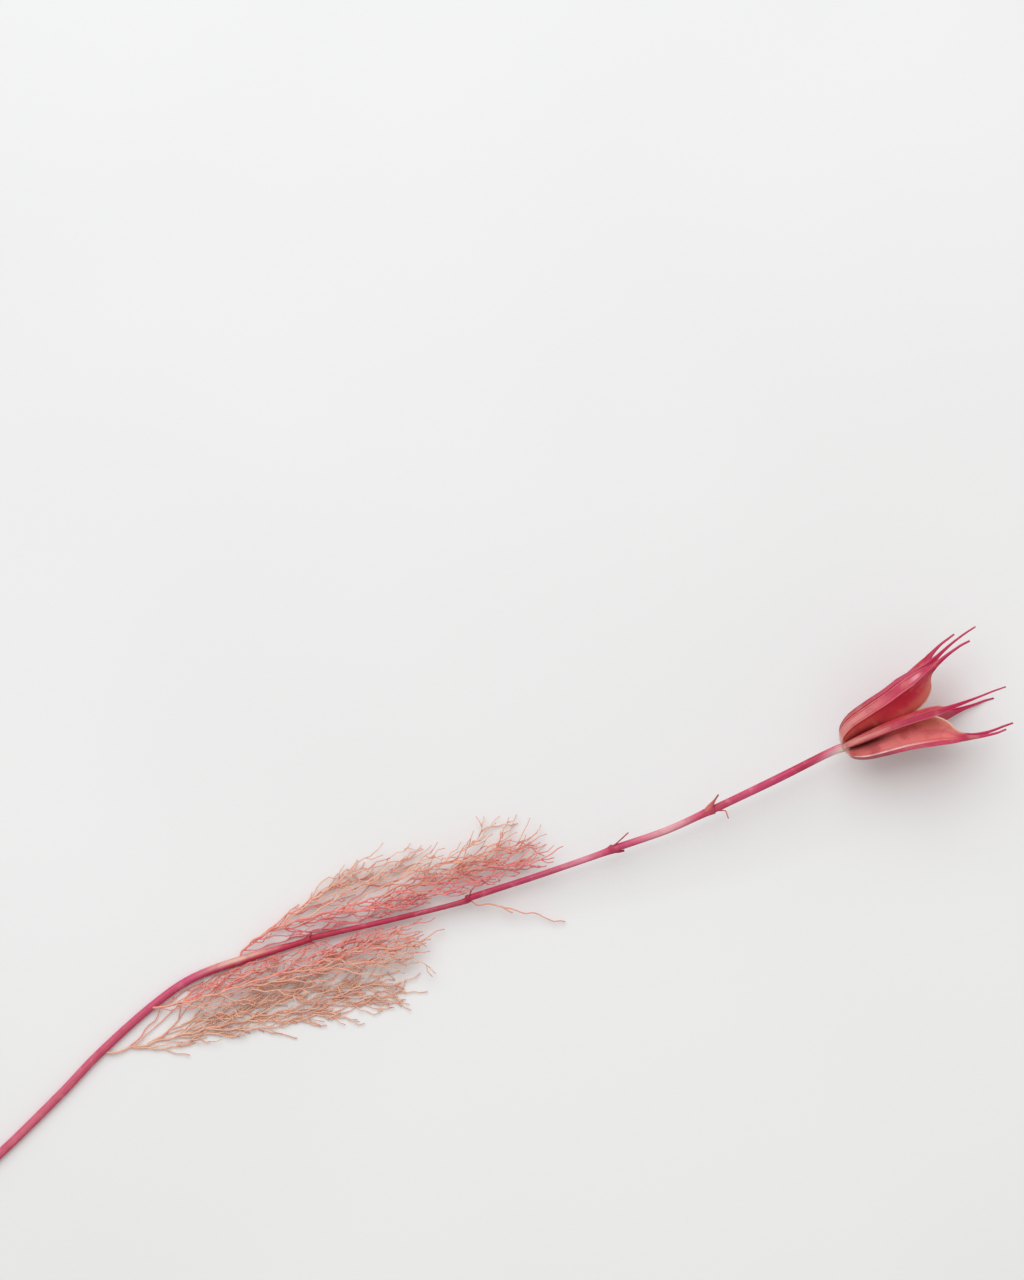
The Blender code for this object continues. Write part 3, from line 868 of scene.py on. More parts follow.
@dataclass(frozen=True)
class LeafFinish(SkinFinish):
    """A dried thread: beige to pink by its own tone, darker towards its tip, where along is 1."""

    tones: Stops = (
        (0.00, (0.95, 0.76, 0.65)),
        (0.25, (0.93, 0.67, 0.57)),
        (0.50, (0.93, 0.58, 0.53)),
        (0.75, (0.93, 0.50, 0.50)),
        (1.00, (0.91, 0.41, 0.47)),
    )
    tip: Layer = Layer((0.84, 0.54, 0.49), 0.5, (Mask(Reading.ALONG, 0.6, 1.0),))

    def paint(self, board: NodeBoard, readings: Readings) -> Socket:
        """Colours a thread by its tone and darkens its tip.

        Args:
            board: the material's nodes.
            readings: the sockets of across, along and tone.

        Returns:
            The colour's socket.
        """
        return board.lay(board.ramp(readings[Reading.TONE], self.tones), (self.tip,), readings)


# Meshes.

def ring_after(bm: Mesh, ring: list[Vert]) -> list[Vert]:
    """Extrudes a ring of vertices once.

    Args:
        bm: the mesh.
        ring: the vertices of the open end, in order.

    Returns:
        The new ring, each vertex in the place of the one that it came from.
    """
    members = set(ring)
    edges = [edge for vert in ring for edge in vert.link_edges
             if edge.is_boundary and edge.other_vert(vert) in members]
    edges = list(dict.fromkeys(edges)) or list({edge for vert in ring for edge in vert.link_edges})
    grown = bmesh.ops.extrude_edge_only(bm, edges=edges)
    fresh = {item for item in grown["geom"] if isinstance(item, Vert)}
    return [next(edge.other_vert(vert) for edge in vert.link_edges if edge.other_vert(vert) in fresh)
            for vert in ring]


def closed_mesh(bm: Mesh) -> None:
    """Fills the open ends, turns the faces outwards and makes them smooth.

    Args:
        bm: the mesh.
    """
    bmesh.ops.holes_fill(bm, edges=[edge for edge in bm.edges if edge.is_boundary])
    bmesh.ops.recalc_face_normals(bm, faces=bm.faces)
    for face in bm.faces:
        face.smooth = True


class PieceMesh:
    """Collects finished parts into the mesh of one piece."""

    def __init__(self, name: str) -> None:
        """Starts an empty piece."""
        self.name = name
        self.bm = bmesh.new()
        self.bm.verts.layers.float_vector.new(SURFACE)

    @staticmethod
    def part() -> Mesh:
        """Starts a part of a piece.

        Returns:
            An empty mesh with the attribute that skins read.
        """
        bm = bmesh.new()
        bm.verts.layers.float_vector.new(SURFACE)
        return bm

    def take(self, part: Mesh) -> None:
        """Adds a part and frees it.

        Args:
            part: its mesh, in mm.
        """
        mesh = bpy.data.meshes.new("part")
        part.to_mesh(mesh)
        part.free()
        self.bm.from_mesh(mesh)
        bpy.data.meshes.remove(mesh)

    def rest(self) -> None:
        """Flattens what would reach below the surface."""
        for vert in self.bm.verts:
            vert.co.z = max(vert.co.z, 0.0)

    def finish(self, material: Material, replaces: str) -> bpy.types.Object:
        """Makes the piece's object, in metres, and puts it on the frame.

        Args:
            material: its finish.
            replaces: the solid that it stands for.

        Returns:
            The object.
        """
        bmesh.ops.scale(self.bm, vec=(MM, MM, MM), verts=self.bm.verts)
        mesh = bpy.data.meshes.new(self.name)
        self.bm.to_mesh(mesh)
        self.bm.free()
        mesh.materials.append(material)
        piece = bpy.data.objects.new(self.name, mesh)
        bpy.context.scene.collection.objects.link(piece)
        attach(piece, "root")
        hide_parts(replaces)
        mesh.calc_loop_triangles()
        LOG.info("%s: %d triangles", self.name, len(mesh.loop_triangles))
        return piece


@dataclass
class Stalk:
    """A round stalk or thread along a path, grown by extruding a ring."""

    points: list[Vector]
    radii: list[float]
    sides: int
    tone: float = 0.0
    ribs: int = 0
    rib_share: float = 0.0               # how high the ribs stand, as a share of the radius
    alongs: list[float] | None = None    # else the share of the points
    tones: list[float] | None = None     # else the tone

    def _frames(self) -> list[tuple[Vector, Vector]]:
        """Finds directions across the path which turn as little as they can.

        Returns:
            Two of them at each point.
        """
        directions = []
        for index in range(len(self.points)):
            ahead = self.points[min(index + 1, len(self.points) - 1)]
            behind = self.points[max(index - 1, 0)]
            directions.append((ahead - behind).normalized())
        up = Vector((0.0, 0.0, 1.0))
        first = (up - directions[0] * up.dot(directions[0])).normalized()
        frames = []
        for index, direction in enumerate(directions):
            if index:
                first = directions[index - 1].rotation_difference(direction) @ first
            frames.append((first, direction.cross(first)))
        return frames

    def build(self) -> Mesh:
        """Grows the stalk.

        Returns:
            Its closed mesh, in mm.
        """
        bm = PieceMesh.part()
        layer = bm.verts.layers.float_vector[SURFACE]
        ring = list(bmesh.ops.create_circle(bm, segments=self.sides, radius=1.0)["verts"])
        last = len(self.points) - 1
        for index, (first, second) in enumerate(self._frames()):
            if index:
                ring = ring_after(bm, ring)
            along = self.alongs[index] if self.alongs else index / last
            tone = self.tones[index] if self.tones else self.tone
            for number, vert in enumerate(ring):
                angle = math.tau * number / self.sides
                radius = self.radii[index] * (1.0 + self.rib_share * math.cos(self.ribs * angle))
                out = first * math.cos(angle) + second * math.sin(angle)
                vert.co = self.points[index] + out * radius
                vert[layer] = (math.sin(angle), along, tone)
        closed_mesh(bm)
        return bm


@dataclass
class SeedPod:
    """The pod: seven follicles grown together along the axis, on the swollen end of the stem."""

    foot: Vector = field(default_factory=lambda: POD_FOOT.copy())
    tilt: float = POD_TILT
    rings_per_station: int = 6
    points_per_key: int = 3
    nerve_height: float = 0.16
    nerve_share: float = 0.25
    band_low: float = 8.0
    band_high: float = 20.0
    flare_start: float = 18.0
    flare_end: float = 27.0
    beak_start: float = 26.0
    hook_start: float = 0.8
    beak_taper: float = 0.40
    beak_root: float = 0.25
    root_fade: tuple[float, float, float] = (0.15, 0.2, 0.6)
    fullness_fade: float = 1.2
    spread_bend: float = 1.3
    lean_bend: float = 0.8
    neck_share: float = 0.62
    neck_nerves: float = 2.2
    lip_slit: float = 0.24
    slit_share: float = 0.25
    tones: tuple[float, ...] = (0.97, 0.85, 0.0, 0.3, 0.03, 0.2, 1.12)  # see PodFinish
    receptacle: tuple[Pair, ...] = (
        (-0.5, 1.0), (-0.1, 1.12), (0.25, 1.32), (0.7, 1.58), (1.2, 1.72), (1.7, 1.5))
    receptacle_sides: int = 28
    receptacle_rib: float = 0.03

    @property
    def beak_length(self) -> float:
        """How far the beaks run past the shoulders."""
        return STATIONS[-1].back_along - self.beak_start

    def outline(self, station: Station, broad: float) -> tuple[float, list[list[float]]]:
        """Draws the outline of a follicle's section: its back with two nerves, its sides and its open seam.

        Args:
            station: the section.
            broad: scales the width of the band.

        Returns:
            The depth from seam to back, and points once round: out from the seam, aside, and across.
        """
        depth = math.hypot(station.back_along - station.seam_along, station.back_out - station.seam_out)
        band = station.band * broad
        nerve = min(self.nerve_height, self.nerve_share * band)
        neck = min(self.neck_share * depth, depth - self.neck_nerves * nerve)
        slit = min(self.lip_slit, self.slit_share * depth)
        belly, seam = station.belly, station.seam
        # Half of the outline, as out from the seam, aside, and across: the band and its nerve, the side
        # and the lip. The depth is at the back, and the neck is where the side meets the band.
        half = [
            (depth + 0.05 * nerve, 0.36 * band, 0.38),
            (depth - 0.05 * nerve, 0.68 * band, 0.68),
            (depth + 0.45 * nerve, 0.86 * band, 0.86),
            (depth + 0.10 * nerve, 0.97 * band, 0.95),
            (depth - 1.00 * nerve, 1.00 * band, 1.05),
            (0.5 * (neck + depth), 0.84 * band, 1.25),
            (0.80 * neck, belly, 1.50),
            (0.45 * neck, 0.90 * belly, 1.72),
            (0.16 * neck, 0.5 * (seam + 0.9 * belly), 1.86),
            (0.02 * depth, 0.92 * seam, 1.94),
            (-0.01 * depth, 0.50 * seam, 2.0),
        ]
        left = [list(row) for row in half]
        right = [[out, -aside, across] for out, aside, across in reversed(half)]
        keys = [[depth + 0.15 * nerve, 0.0, 0.0], *left, [slit, 0.0, 2.1], *right]
        return depth, smooth_loop(keys, self.points_per_key)

    def rolled(self, depth: float, out: float, aside: float, roll: float) -> Pair:
        """Turns a point of a section about the follicle's back, fully there and less further in.

        Args:
            depth: the section's depth.
            out: how far the point is from the seam.
            aside: how far it is aside.
            roll: the turn, in degrees.

        Returns:
            The point's new distances out and aside.
        """
        turn = math.radians(roll) * clamped(out / depth) ** 2
        back = out - depth
        return (depth + back * math.cos(turn) + aside * math.sin(turn),
                aside * math.cos(turn) - back * math.sin(turn))

    def ring(self, follicle: Follicle, row: Sequence[float]) -> list[tuple[Vector, float]]:
        """One ring of a follicle's skin.

        Args:
            follicle: the follicle.
            row: the numbers of a station.

        Returns:
            Points in the pod's own frame, in mm, each with how far across the skin it is.
        """
        station = Station(*row)
        seam = Vector((station.seam_along, station.seam_out))
        across_axis = (Vector((station.back_along, station.back_out)) - seam).normalized()
        height = clamped((station.back_along - self.band_low) / (self.band_high - self.band_low))
        broad = follicle.broad_low + (follicle.broad_high - follicle.broad_low) * height
        depth, outline = self.outline(station, broad)
        beak = clamped((station.back_along - self.band_high) / (self.beak_start - self.band_high))
        run = clamped((station.back_along - self.beak_start) / self.beak_length)
        swollen, thinning, thinned = self.root_fade
        root = self.beak_root * eased(run, 0.0, swollen) * eased(run, thinned, thinning)
        thin = 1.0 - self.beak_taper * run + root
        points = []
        for out, aside, across in outline:
            out = depth + (out - depth) * thin
            aside *= thin
            out, aside = self.rolled(depth, out, aside, follicle.roll * (1.0 - beak))
            along, away = seam + across_axis * out
            share = clamped(along / self.beak_start)
            away *= 1.0 + (follicle.fullness - 1.0) * (1.0 - share) ** self.fullness_fade
            flare = clamped((along - self.flare_start) / (self.flare_end - self.flare_start))
            away += follicle.flare * flare
            past = max(0.0, (along - self.beak_start) / self.beak_length)
            angle = math.radians(follicle.angle + follicle.twist * share)
            if along > self.beak_start:
                along = self.beak_start + past * (follicle.reach - self.beak_start)
            away += follicle.spread * past ** self.spread_bend
            aside += follicle.lean * past ** self.lean_bend
            aside += follicle.hook * max(0.0, past - self.hook_start) / (1.0 - self.hook_start)
            points.append((Vector((along, away * math.sin(angle) + aside * math.cos(angle),
                                   away * math.cos(angle) - aside * math.sin(angle))), across))
        return points

    def build_follicle(self, follicle: Follicle, tone: float) -> Mesh:
        """Lofts one follicle through its rings.

        Args:
            follicle: the follicle.
            tone: how pale its band is, and 1 more where its nerves stand out and painted light lifts its
                band and side.

        Returns:
            Its closed mesh, in mm, in the pod's own frame.
        """
        rows = smooth_rows(STATIONS, self.rings_per_station)
        bm = PieceMesh.part()
        layer = bm.verts.layers.float_vector[SURFACE]
        places = self.ring(follicle, rows[0])
        ring = list(bmesh.ops.create_circle(bm, segments=len(places), radius=1.0)["verts"])
        for index, row in enumerate(rows):
            if index:
                ring = ring_after(bm, ring)
                places = self.ring(follicle, row)
            for vert, (point, across) in zip(ring, places):
                vert.co = point
                vert[layer] = (across, row[0] / self.beak_start, tone)
        closed_mesh(bm)
        return bm

    def build_receptacle(self) -> Mesh:
        """Builds the swollen end of the stem between the follicles' feet.

        Returns:
            Its closed mesh, in mm, in the pod's own frame.
        """
        points = [Vector((along, 0.0, 0.0)) for along, _ in self.receptacle]
        radii = [radius for _, radius in self.receptacle]
        return Stalk(points, radii, self.receptacle_sides, ribs=len(FOLLICLES),
                     rib_share=self.receptacle_rib, alongs=[0.0] * len(points)).build()

    def build(self, material: Material) -> bpy.types.Object:
        """Builds the pod in its place.

        Args:
            material: its finish.

        Returns:
            The pod's object.
        """
        piece = PieceMesh("pod_skin")
        for follicle, tone in zip(FOLLICLES, self.tones):
            piece.take(self.build_follicle(follicle, tone))
        piece.take(self.build_receptacle())
        place = Matrix.Translation(self.foot) @ Matrix.Rotation(-self.tilt, 4, "Y")
        bmesh.ops.transform(piece.bm, matrix=place, verts=piece.bm.verts)
        piece.rest()
        return piece.finish(material, "seed_pod")


class Stub(NamedTuple):
    """What is left of an old leaf at a joint: its path from the stem's line, its thickness and tones."""

    back: float    # where its joint is
    turn: float    # its angle to the stem in plan, in degrees
    rise: float    # and upwards
    length: float
    root: float    # thickness where it clasps the joint
    tip: float     # and at its tip
    waist: float   # share of its length where it has thinned
    curl: float    # how far its end turns, in degrees
    tones: Pair  # at its root and at its tip, see StemFinish


@dataclass
class Stem:
    """The cut stem, ribbed along its length, with its swollen joints and the stubs of old leaves."""

    points_per_span: int = 6
    sides: int = 30
    ribs: int = 10
    rib_share: float = 0.03
    joint_swell: float = 0.25
    joint_edge: float = 0.2
    last_joint: float = 140.0
    tone: float = 0.5  # see StemFinish
    cut_slant: float = math.radians(28.0)
    cut_depth: float = 1.2
    cut_tolerance: float = 1e-5
    pith: tuple[Pair, ...] = ((0.08, 0.0), (0.12, 0.15), (0.25, 0.45))  # width and depth
    pith_tone: float = -1.0
    stub_sink: float = 0.7
    stub_bury: float = 0.98  # how far inside the joint it starts, mm
    stub_steps: int = 11
    stub_sides: int = 10
    stub_return: float = 0.35
    curl_share: Pair = (0.6, 0.8)
    stubs: tuple[Stub, ...] = (
        Stub(34.3, 34.0, 30.0, 4.9, 1.85, 0.42, 0.85, 6.0, (1.0, 1.8)),
        Stub(33.7, -27.0, 2.0, 5.0, 0.62, 0.30, 0.30, -78.0, (1.5, 1.35)),
        Stub(59.0, 24.0, 24.0, 6.0, 1.15, 0.34, 0.40, 4.0, (1.9, 1.5)),
        Stub(59.0, -34.0, 0.0, 2.9, 1.10, 0.56, 0.85, 14.0, (1.7, 2.0)),
        Stub(94.5, 30.0, 32.0, 2.4, 0.90, 0.34, 0.50, 20.0, (1.6, 1.8)),
        Stub(132.4, 36.0, 40.0, 2.0, 0.90, 0.36, 0.60, 0.0, (1.5, 1.8)),
        Stub(132.4, -52.0, 16.0, 1.9, 0.85, 0.40, 0.60, 0.0, (1.7, 2.0)),
    )

    def narrowed(self, back: float, thick: float) -> float:
        """Finds the stem's thickness, which drops at once on the pod's side of a joint.

        Args:
            back: how far back from the pod's foot, mm.
            thick: the thickness there of a smooth curve through the knots.

        Returns:
            The thickness, mm.
        """
        for before, joint in zip(STEM_KNOTS, STEM_KNOTS[1:]):
            swollen = joint.thick > before.thick + self.joint_swell
            near = before.back <= back < joint.back - self.joint_edge
            if swollen and near and joint.back < self.last_joint:
                return before.thick
        return thick

    def line(self) -> tuple[list[Vector], list[float], list[float]]:
        """Draws the stem's centre line.

        Returns:
            Its points, its radii, and how far back each point is, in mm.
        """
        rows = smooth_rows(STEM_KNOTS, self.points_per_span)
        points = [on_object(*row[:3]) for row in rows]
        return points, [0.5 * self.narrowed(row[0], row[3]) for row in rows], [row[0] for row in rows]

    def build_stub(self, stub: Stub, points: list[Vector]) -> Mesh:
        """Builds one stub: a sheath that clasps the joint and narrows to a dry tip.

        Args:
            stub: the stub.
            points: the stem's centre line.

        Returns:
            Its closed mesh, in mm.
        """
        joint = POD_FOOT.x - stub.back
        index = min(range(1, len(points) - 1), key=lambda number: abs(points[number].x - joint))
        centre = points[index]
        along = (points[index - 1] - points[index + 1]).normalized()
        heading = math.atan2(along.y, along.x) + math.radians(stub.turn)
        rise = math.radians(stub.rise)
        steps = self.stub_steps
        place = centre - along * self.stub_bury
        path, radii = [place.copy()], [0.5 * stub.root]
        for step in range(1, steps + 1):
            share = step / steps
            turn = (heading + math.radians(stub.curl) * eased(share, *self.curl_share)
                    - math.radians(stub.turn) * self.stub_return * share)
            way = Vector((math.cos(turn) * math.cos(rise), math.sin(turn) * math.cos(rise), math.sin(rise)))
            place = place + way * ((stub.length + self.stub_sink) / steps)
            path.append(place.copy())
            radii.append(0.5 * (stub.root + (stub.tip - stub.root) * eased(share, 0.0, stub.waist)))
        first, last = stub.tones
        tones = [first + (last - first) * step / steps for step in range(steps + 1)]
        return Stalk(path, radii, self.stub_sides, alongs=[stub.back] * len(path), tones=tones).build()

    def cut(self, bm: Mesh, end: Vector, inward: Vector) -> None:
        """Cuts the far end at a slant and sinks the pith a little below the rind.

        Args:
            bm: the stem's mesh.
            end: where its line ends.
            inward: the direction from there into the stem.
        """
        flat = Vector((inward.x, inward.y, 0.0)).normalized()
        normal = -(Matrix.Rotation(self.cut_slant, 3, "Z") @ flat)
        bmesh.ops.bisect_plane(bm, geom=[*bm.verts, *bm.edges, *bm.faces], dist=self.cut_tolerance,
                               plane_co=end + flat * self.cut_depth, plane_no=normal, clear_outer=True)
        filled = bmesh.ops.holes_fill(bm, edges=[edge for edge in bm.edges if edge.is_boundary])
        layer = bm.verts.layers.float_vector[SURFACE]
        end_face = max(filled["faces"], key=lambda face: face.calc_area())
        for thickness, depth in self.pith:
            bmesh.ops.inset_individual(bm, faces=[end_face], thickness=thickness, use_even_offset=False)
            for vert in end_face.verts:
                vert.co -= normal * depth
                vert[layer] = (*vert[layer][:2], self.pith_tone)
        bmesh.ops.recalc_face_normals(bm, faces=bm.faces)

    def build(self, material: Material) -> bpy.types.Object:
        """Builds the stem in its place.

        Args:
            material: its finish.

        Returns:
            The stem's object.
        """
        points, radii, backs = self.line()
        piece = PieceMesh("stem_skin")
        stalk = Stalk(points, radii, self.sides, self.tone, self.ribs, self.rib_share, backs).build()
        self.cut(stalk, points[-1], points[-2] - points[-1])
        piece.take(stalk)
        for stub in self.stubs:
            piece.take(self.build_stub(stub, points))
        piece.rest()
        return piece.finish(material, "stem")


def stem_beside(place: Vector) -> float:
    """Finds the stem beside a place.

    Args:
        place: a point of the object, in mm.

    Returns:
        The y of the stem's centre line at the same x, in mm.
    """
    back = POD_FOOT.x - place.x
    for near, far in zip(STEM_KNOTS, STEM_KNOTS[1:]):
        if near.back <= back <= far.back:
            share = (back - near.back) / (far.back - near.back)
            return POD_FOOT.y + near.side + share * (far.side - near.side)
    return POD_FOOT.y


class Growth(NamedTuple):
    """How a kind of thread grows: its bends, its thickness, and where it has to end."""

    step: float           # mm between two bends
    bend: float           # the most that it bends by chance, in degrees
    zigzag: float         # and to and fro, in degrees
    turn_back: float      # how much of the angle at its root it turns back, as a share
    thick: Pair           # at its root and at its tip, mm
    clearance: float      # from the stem's centre line, mm
    hugs: bool = False    # whether it then runs on along the stem, and doesn't end
    trimmed: bool = True  # whether it ends at the leaf's edge


class Tips(NamedTuple):
    """A round of the finest threads."""

    reach: Pair     # the shortest and the longest, mm
    spacing: float  # mm of thread to each side twig


@dataclass
class Thread:
    """One thread of a leaf: its points and its thickness at both ends."""

    points: list[Vector]
    thick: float
    fine: float

    @property
    def length(self) -> float:
        """Its length, mm."""
        return sum((after - before).length for before, after in zip(self.points, self.points[1:]))

    def place_at(self, share: float) -> tuple[Vector, float]:
        """Finds a place on the thread.

        Args:
            share: how far along it is, as a share of the thread's points.

        Returns:
            The place, and the thread's heading there in degrees.
        """
        position = share * (len(self.points) - 1)
        index = min(int(position), len(self.points) - 2)
        ahead = self.points[index + 1] - self.points[index]
        place = self.points[index].lerp(self.points[index + 1], position - index)
        return place, math.degrees(math.atan2(ahead.y, ahead.x))


@dataclass
class ThreadLeaf:
    """A dried leaf cut into fine threads that fork, and fork again."""

    shape: LeafShape
    main_thick: Pair = (0.60, 0.36)
    lone_thick: Pair = (0.42, 0.28)
    wander: Pair = (0.25, 0.2)
    route_points: int = 3
    rise: Pair = (0.55, 1.3)
    fall: Pair = (1.15, 0.75)
    sag: Pair = (-0.9, 0.5)
    hug_play: float = 0.5
    edge_slant: float = 0.3
    edge_play: float = 6.0

    fork: Growth = Growth(7.0, 3.4, 0.0, 0.85, (0.42, 0.28), 1.75, trimmed=False)
    fork_start: float = 0.10
    fork_span: float = 0.84
    fork_play: Pair = (0.1, 0.7)
    fork_angle: Pair = (15.0, 28.0)
    fork_reach: Pair = (0.85, 1.15)

    twig: Growth = Growth(7.0, 3.4, 0.0, 0.6, (0.34, 0.25), 1.75, trimmed=False)
    twig_start: float = 0.25
    twig_step: float = 0.22
    twig_play: float = 0.12
    twig_reach: Pair = (0.3, 0.5)
    long_fork: float = 12.0
    short_fork: float = 6.0

    strand: Growth = Growth(3.0, 7.0, 9.0, 0.9, (0.32, 0.23), 1.25, hugs=True)
    strand_spacing: float = 18.0
    strand_place: Pair = (0.08, 0.8)
    strand_angle: Pair = (14.0, 36.0)
    strand_reach: Pair = (0.4, 0.75)
    strand_parent: float = 20.0  # the most of its parent's length that counts, mm

    hugger: Growth = Growth(3.0, 7.0, 9.0, 0.0, (0.32, 0.23), 1.25, hugs=True)
    huggers: int = 7
    hugger_place: Pair = (0.04, 0.5)
    hugger_angle: Pair = (8.0, 20.0)
    hugger_reach: Pair = (18.0, 34.0)

    tip: Growth = Growth(1.7, 10.0, 12.0, 0.7, (0.27, 0.19), 1.15)
    tip_places: Pair = (0.96, 0.78)
    tip_side_place: Pair = (0.25, 0.7)
    tip_angle: Pair = (22.0, 50.0)
    tips: Tips = Tips((2.8, 7.0), 13.0)
    last_tips: Tips = Tips((1.8, 3.8), 99.0)
    last_tips_one_in: int = 3

    wobble: float = 0.05
    sway: float = 0.28
    sway_pace: float = 1.05  # radians a millimetre
    sway_start: float = 5.0
    pink_reach: float = 11.0
    tone_play: float = 0.18
    look_seed: int = 200  # added to the leaf's seed for what the solid doesn't have
    solid_steps: int = 4  # how many steps between two points, for the threads that the solid has,
    strand_steps: int = 2  # for strands
    tip_steps: int = 1  # and for tips
    sides: int = 6

    def main_thread(self, rng: random.Random) -> Thread:
        """The main thread: from the stem, a smooth curve through its route, a little crooked.

        Args:
            rng: where its random draws come from.

        Returns:
            The curve, without the piece that joins the stem.
        """
        points = [on_object(*row) for row in smooth_rows(self.shape.route, self.route_points)]
        aside, upward = self.wander
        for point in points[1:]:
            point.y += rng.uniform(-aside, aside)
            point.z += rng.uniform(-upward, upward)
        return Thread(points, *(self.main_thick if self.shape.fine else self.lone_thick))

    def grow(self, rng: random.Random, parent: Thread, share: float, turn: float, length: float,
             growth: Growth) -> list[Thread]:
        """Grows a crooked thread from another.

        Args:
            rng: where its random bends come from.
            parent: the thread that it leaves.
            share: how far along that it does so.
            turn: the angle between the two, in degrees.
            length: its length, mm.
            growth: how it grows.

        Returns:
            The thread, or nothing where it has no room. Where it would come to the stem it ends early, or
            runs on beside it.
        """
        shape = self.shape
        start, heading = parent.place_at(share)
        heading += turn
        steps = max(2, round(length / growth.step))
        points = [start.copy()]
        spare = rng.uniform(0.0, self.edge_play) if growth.trimmed else 0.0
        for index in range(steps):
            heading += -growth.turn_back * turn / steps + rng.uniform(-growth.bend, growth.bend)
            aim = math.radians(heading + (growth.zigzag if index % 2 else -growth.zigzag))
            point = points[-1] + Vector((math.cos(aim), math.sin(aim), 0.0)) * (length / steps)
            point.z = min(shape.high, max(shape.low, point.z + rng.uniform(*self.sag)))
            if shape.side.value * (point.y - stem_beside(point)) < growth.clearance:
                if not growth.hugs:
                    break
                beside = growth.clearance + rng.uniform(0.0, self.hug_play)
                point.y = stem_beside(point) + shape.side.value * beside
            if growth.trimmed and self.past_edge(point, spare):
                break
            points.append(point)
        return [Thread(points, *growth.thick)] if len(points) > 1 else []

    def past_edge(self, point: Vector, spare: float) -> bool:
        """Tells whether a point is past the leaf's edge.

        Args:
            point: the point, in mm.
            spare: how much nearer than the edge already counts, in mm.

        Returns:
            Whether it is.
        """
        past_end = POD_FOOT.x - point.x - self.shape.end_back
        out = self.shape.side.value * (point.y - POD_FOOT.y)
        return past_end < spare or out > self.shape.edge - self.edge_slant * past_end - 0.5 * spare

    def reach_at(self, share: float) -> float:
        """How long a fork is for its place on the main thread, as a share of the longest."""
        return min(self.rise[0] + self.rise[1] * share, self.fall[0] - self.fall[1] * share)

    def twig_count(self, length: float) -> int:
        """How many twigs a fork of a length carries."""
        return 3 if length > self.long_fork else 2 if length > self.short_fork else 0

    def threads(self) -> list[Thread]:
        """Grows every thread that the solid has: the main one, its forks, and theirs.

        Returns:
            The threads, the main one first.
        """
        shape = self.shape
        rng = random.Random(shape.seed)
        main = self.main_thread(rng)
        found = [Thread([on_object(*shape.foot), *main.points], main.thick, main.fine)]
        for number in range(shape.forks):
            share = self.fork_start + self.fork_span * (number + rng.uniform(*self.fork_play)) / shape.forks
            hand = 1 if number % 2 else -1
            length = shape.fork_length * self.reach_at(share) * rng.uniform(*self.fork_reach)
            turn = hand * rng.uniform(*self.fork_angle)
            for fork in self.grow(rng, main, share, turn, length, self.fork):
                found.append(fork)
                for twig in range(self.twig_count(length)):
                    place = self.twig_start + self.twig_step * twig + rng.uniform(0.0, self.twig_play)
                    turn = (hand if twig % 2 else -hand) * rng.uniform(*self.fork_angle)
                    reach = length * rng.uniform(*self.twig_reach)
                    found += self.grow(rng, fork, place, turn, reach, self.twig)
        return found

    def strands(self, rng: random.Random, threads: list[Thread]) -> list[Thread]:
        """Grows long threads, too fine for the solid, that leave the others at a narrow angle.

        Args:
            rng: where their random draws come from.
            threads: the threads that they leave.

        Returns:
            The strands.
        """
        found = []
        for thread in threads:
            length = thread.length
            for _ in range(int(length / self.strand_spacing)):
                place = rng.uniform(*self.strand_place)
                turn = rng.choice((-1.0, 1.0)) * rng.uniform(*self.strand_angle)
                reach = min(length, self.strand_parent) * rng.uniform(*self.strand_reach)
                found += self.grow(rng, thread, place, turn, reach, self.strand)
        for _ in range(self.huggers):
            place = rng.uniform(*self.hugger_place)
            turn = -self.shape.side.value * rng.uniform(*self.hugger_angle)
            found += self.grow(rng, threads[0], place, turn, rng.uniform(*self.hugger_reach), self.hugger)
        return found

    def ends(self, rng: random.Random, threads: list[Thread], tips: Tips) -> list[Thread]:
        """Grows the finest threads: each thread's end forks in two, and side twigs leave it before that.

        Args:
            rng: where their random draws come from.
            threads: the threads that they leave.
            tips: how long and how many they are.

        Returns:
            The fine threads.
        """
        found = []
        for thread in threads:
            count = int(thread.length / tips.spacing)
            places = [*self.tip_places, *(rng.uniform(*self.tip_side_place) for _ in range(count))]
            hand = rng.choice((-1, 1))
            for number, place in enumerate(places):
                turn = (hand if number % 2 else -hand) * rng.uniform(*self.tip_angle)
                found += self.grow(rng, thread, place, turn, rng.uniform(*tips.reach), self.tip)
        return found

    def wavered(self, rng: random.Random, thread: Thread, per_span: int) -> Thread:
        """Makes a thread finer, and sways and wavers it a little about its line.

        Args:
            rng: where its random draws come from.
            thread: the thread.
            per_span: how many steps to make between each two of its points.

        Returns:
            The finer thread.
        """
        points = [Vector(row) for row in smooth_rows([tuple(point) for point in thread.points], per_span)]
        steps = [(after - before).length for before, after in zip(points, points[1:])]
        phase = rng.uniform(0.0, math.tau)
        travelled = 0.0
        for point, step in zip(points[1:], steps):
            travelled += step
            sway = self.sway * math.sin(phase + travelled * self.sway_pace)
            sway *= eased(travelled, 0.0, self.sway_start)
            point.y += sway + rng.uniform(-self.wobble, self.wobble)
            point.z += rng.uniform(-self.wobble, self.wobble)
            point.z = max(point.z, 0.5 * thread.thick)
        return Thread(points, thread.thick, thread.fine)

    def tone(self, rng: random.Random, thread: Thread) -> float:
        """Picks a thread's tone: pink beside the stem, beige away from it, with a random share.

        Args:
            rng: where the draw comes from.
            thread: the thread.

        Returns:
            The tone, from 0 to 1.
        """
        middle = thread.points[len(thread.points) // 2]
        away = abs(middle.y - stem_beside(middle)) / self.pink_reach
        low, high = self.shape.tones
        play = rng.uniform(-self.tone_play, self.tone_play)
        return clamped(low + (high - low) * clamped(1.0 - away) + play)

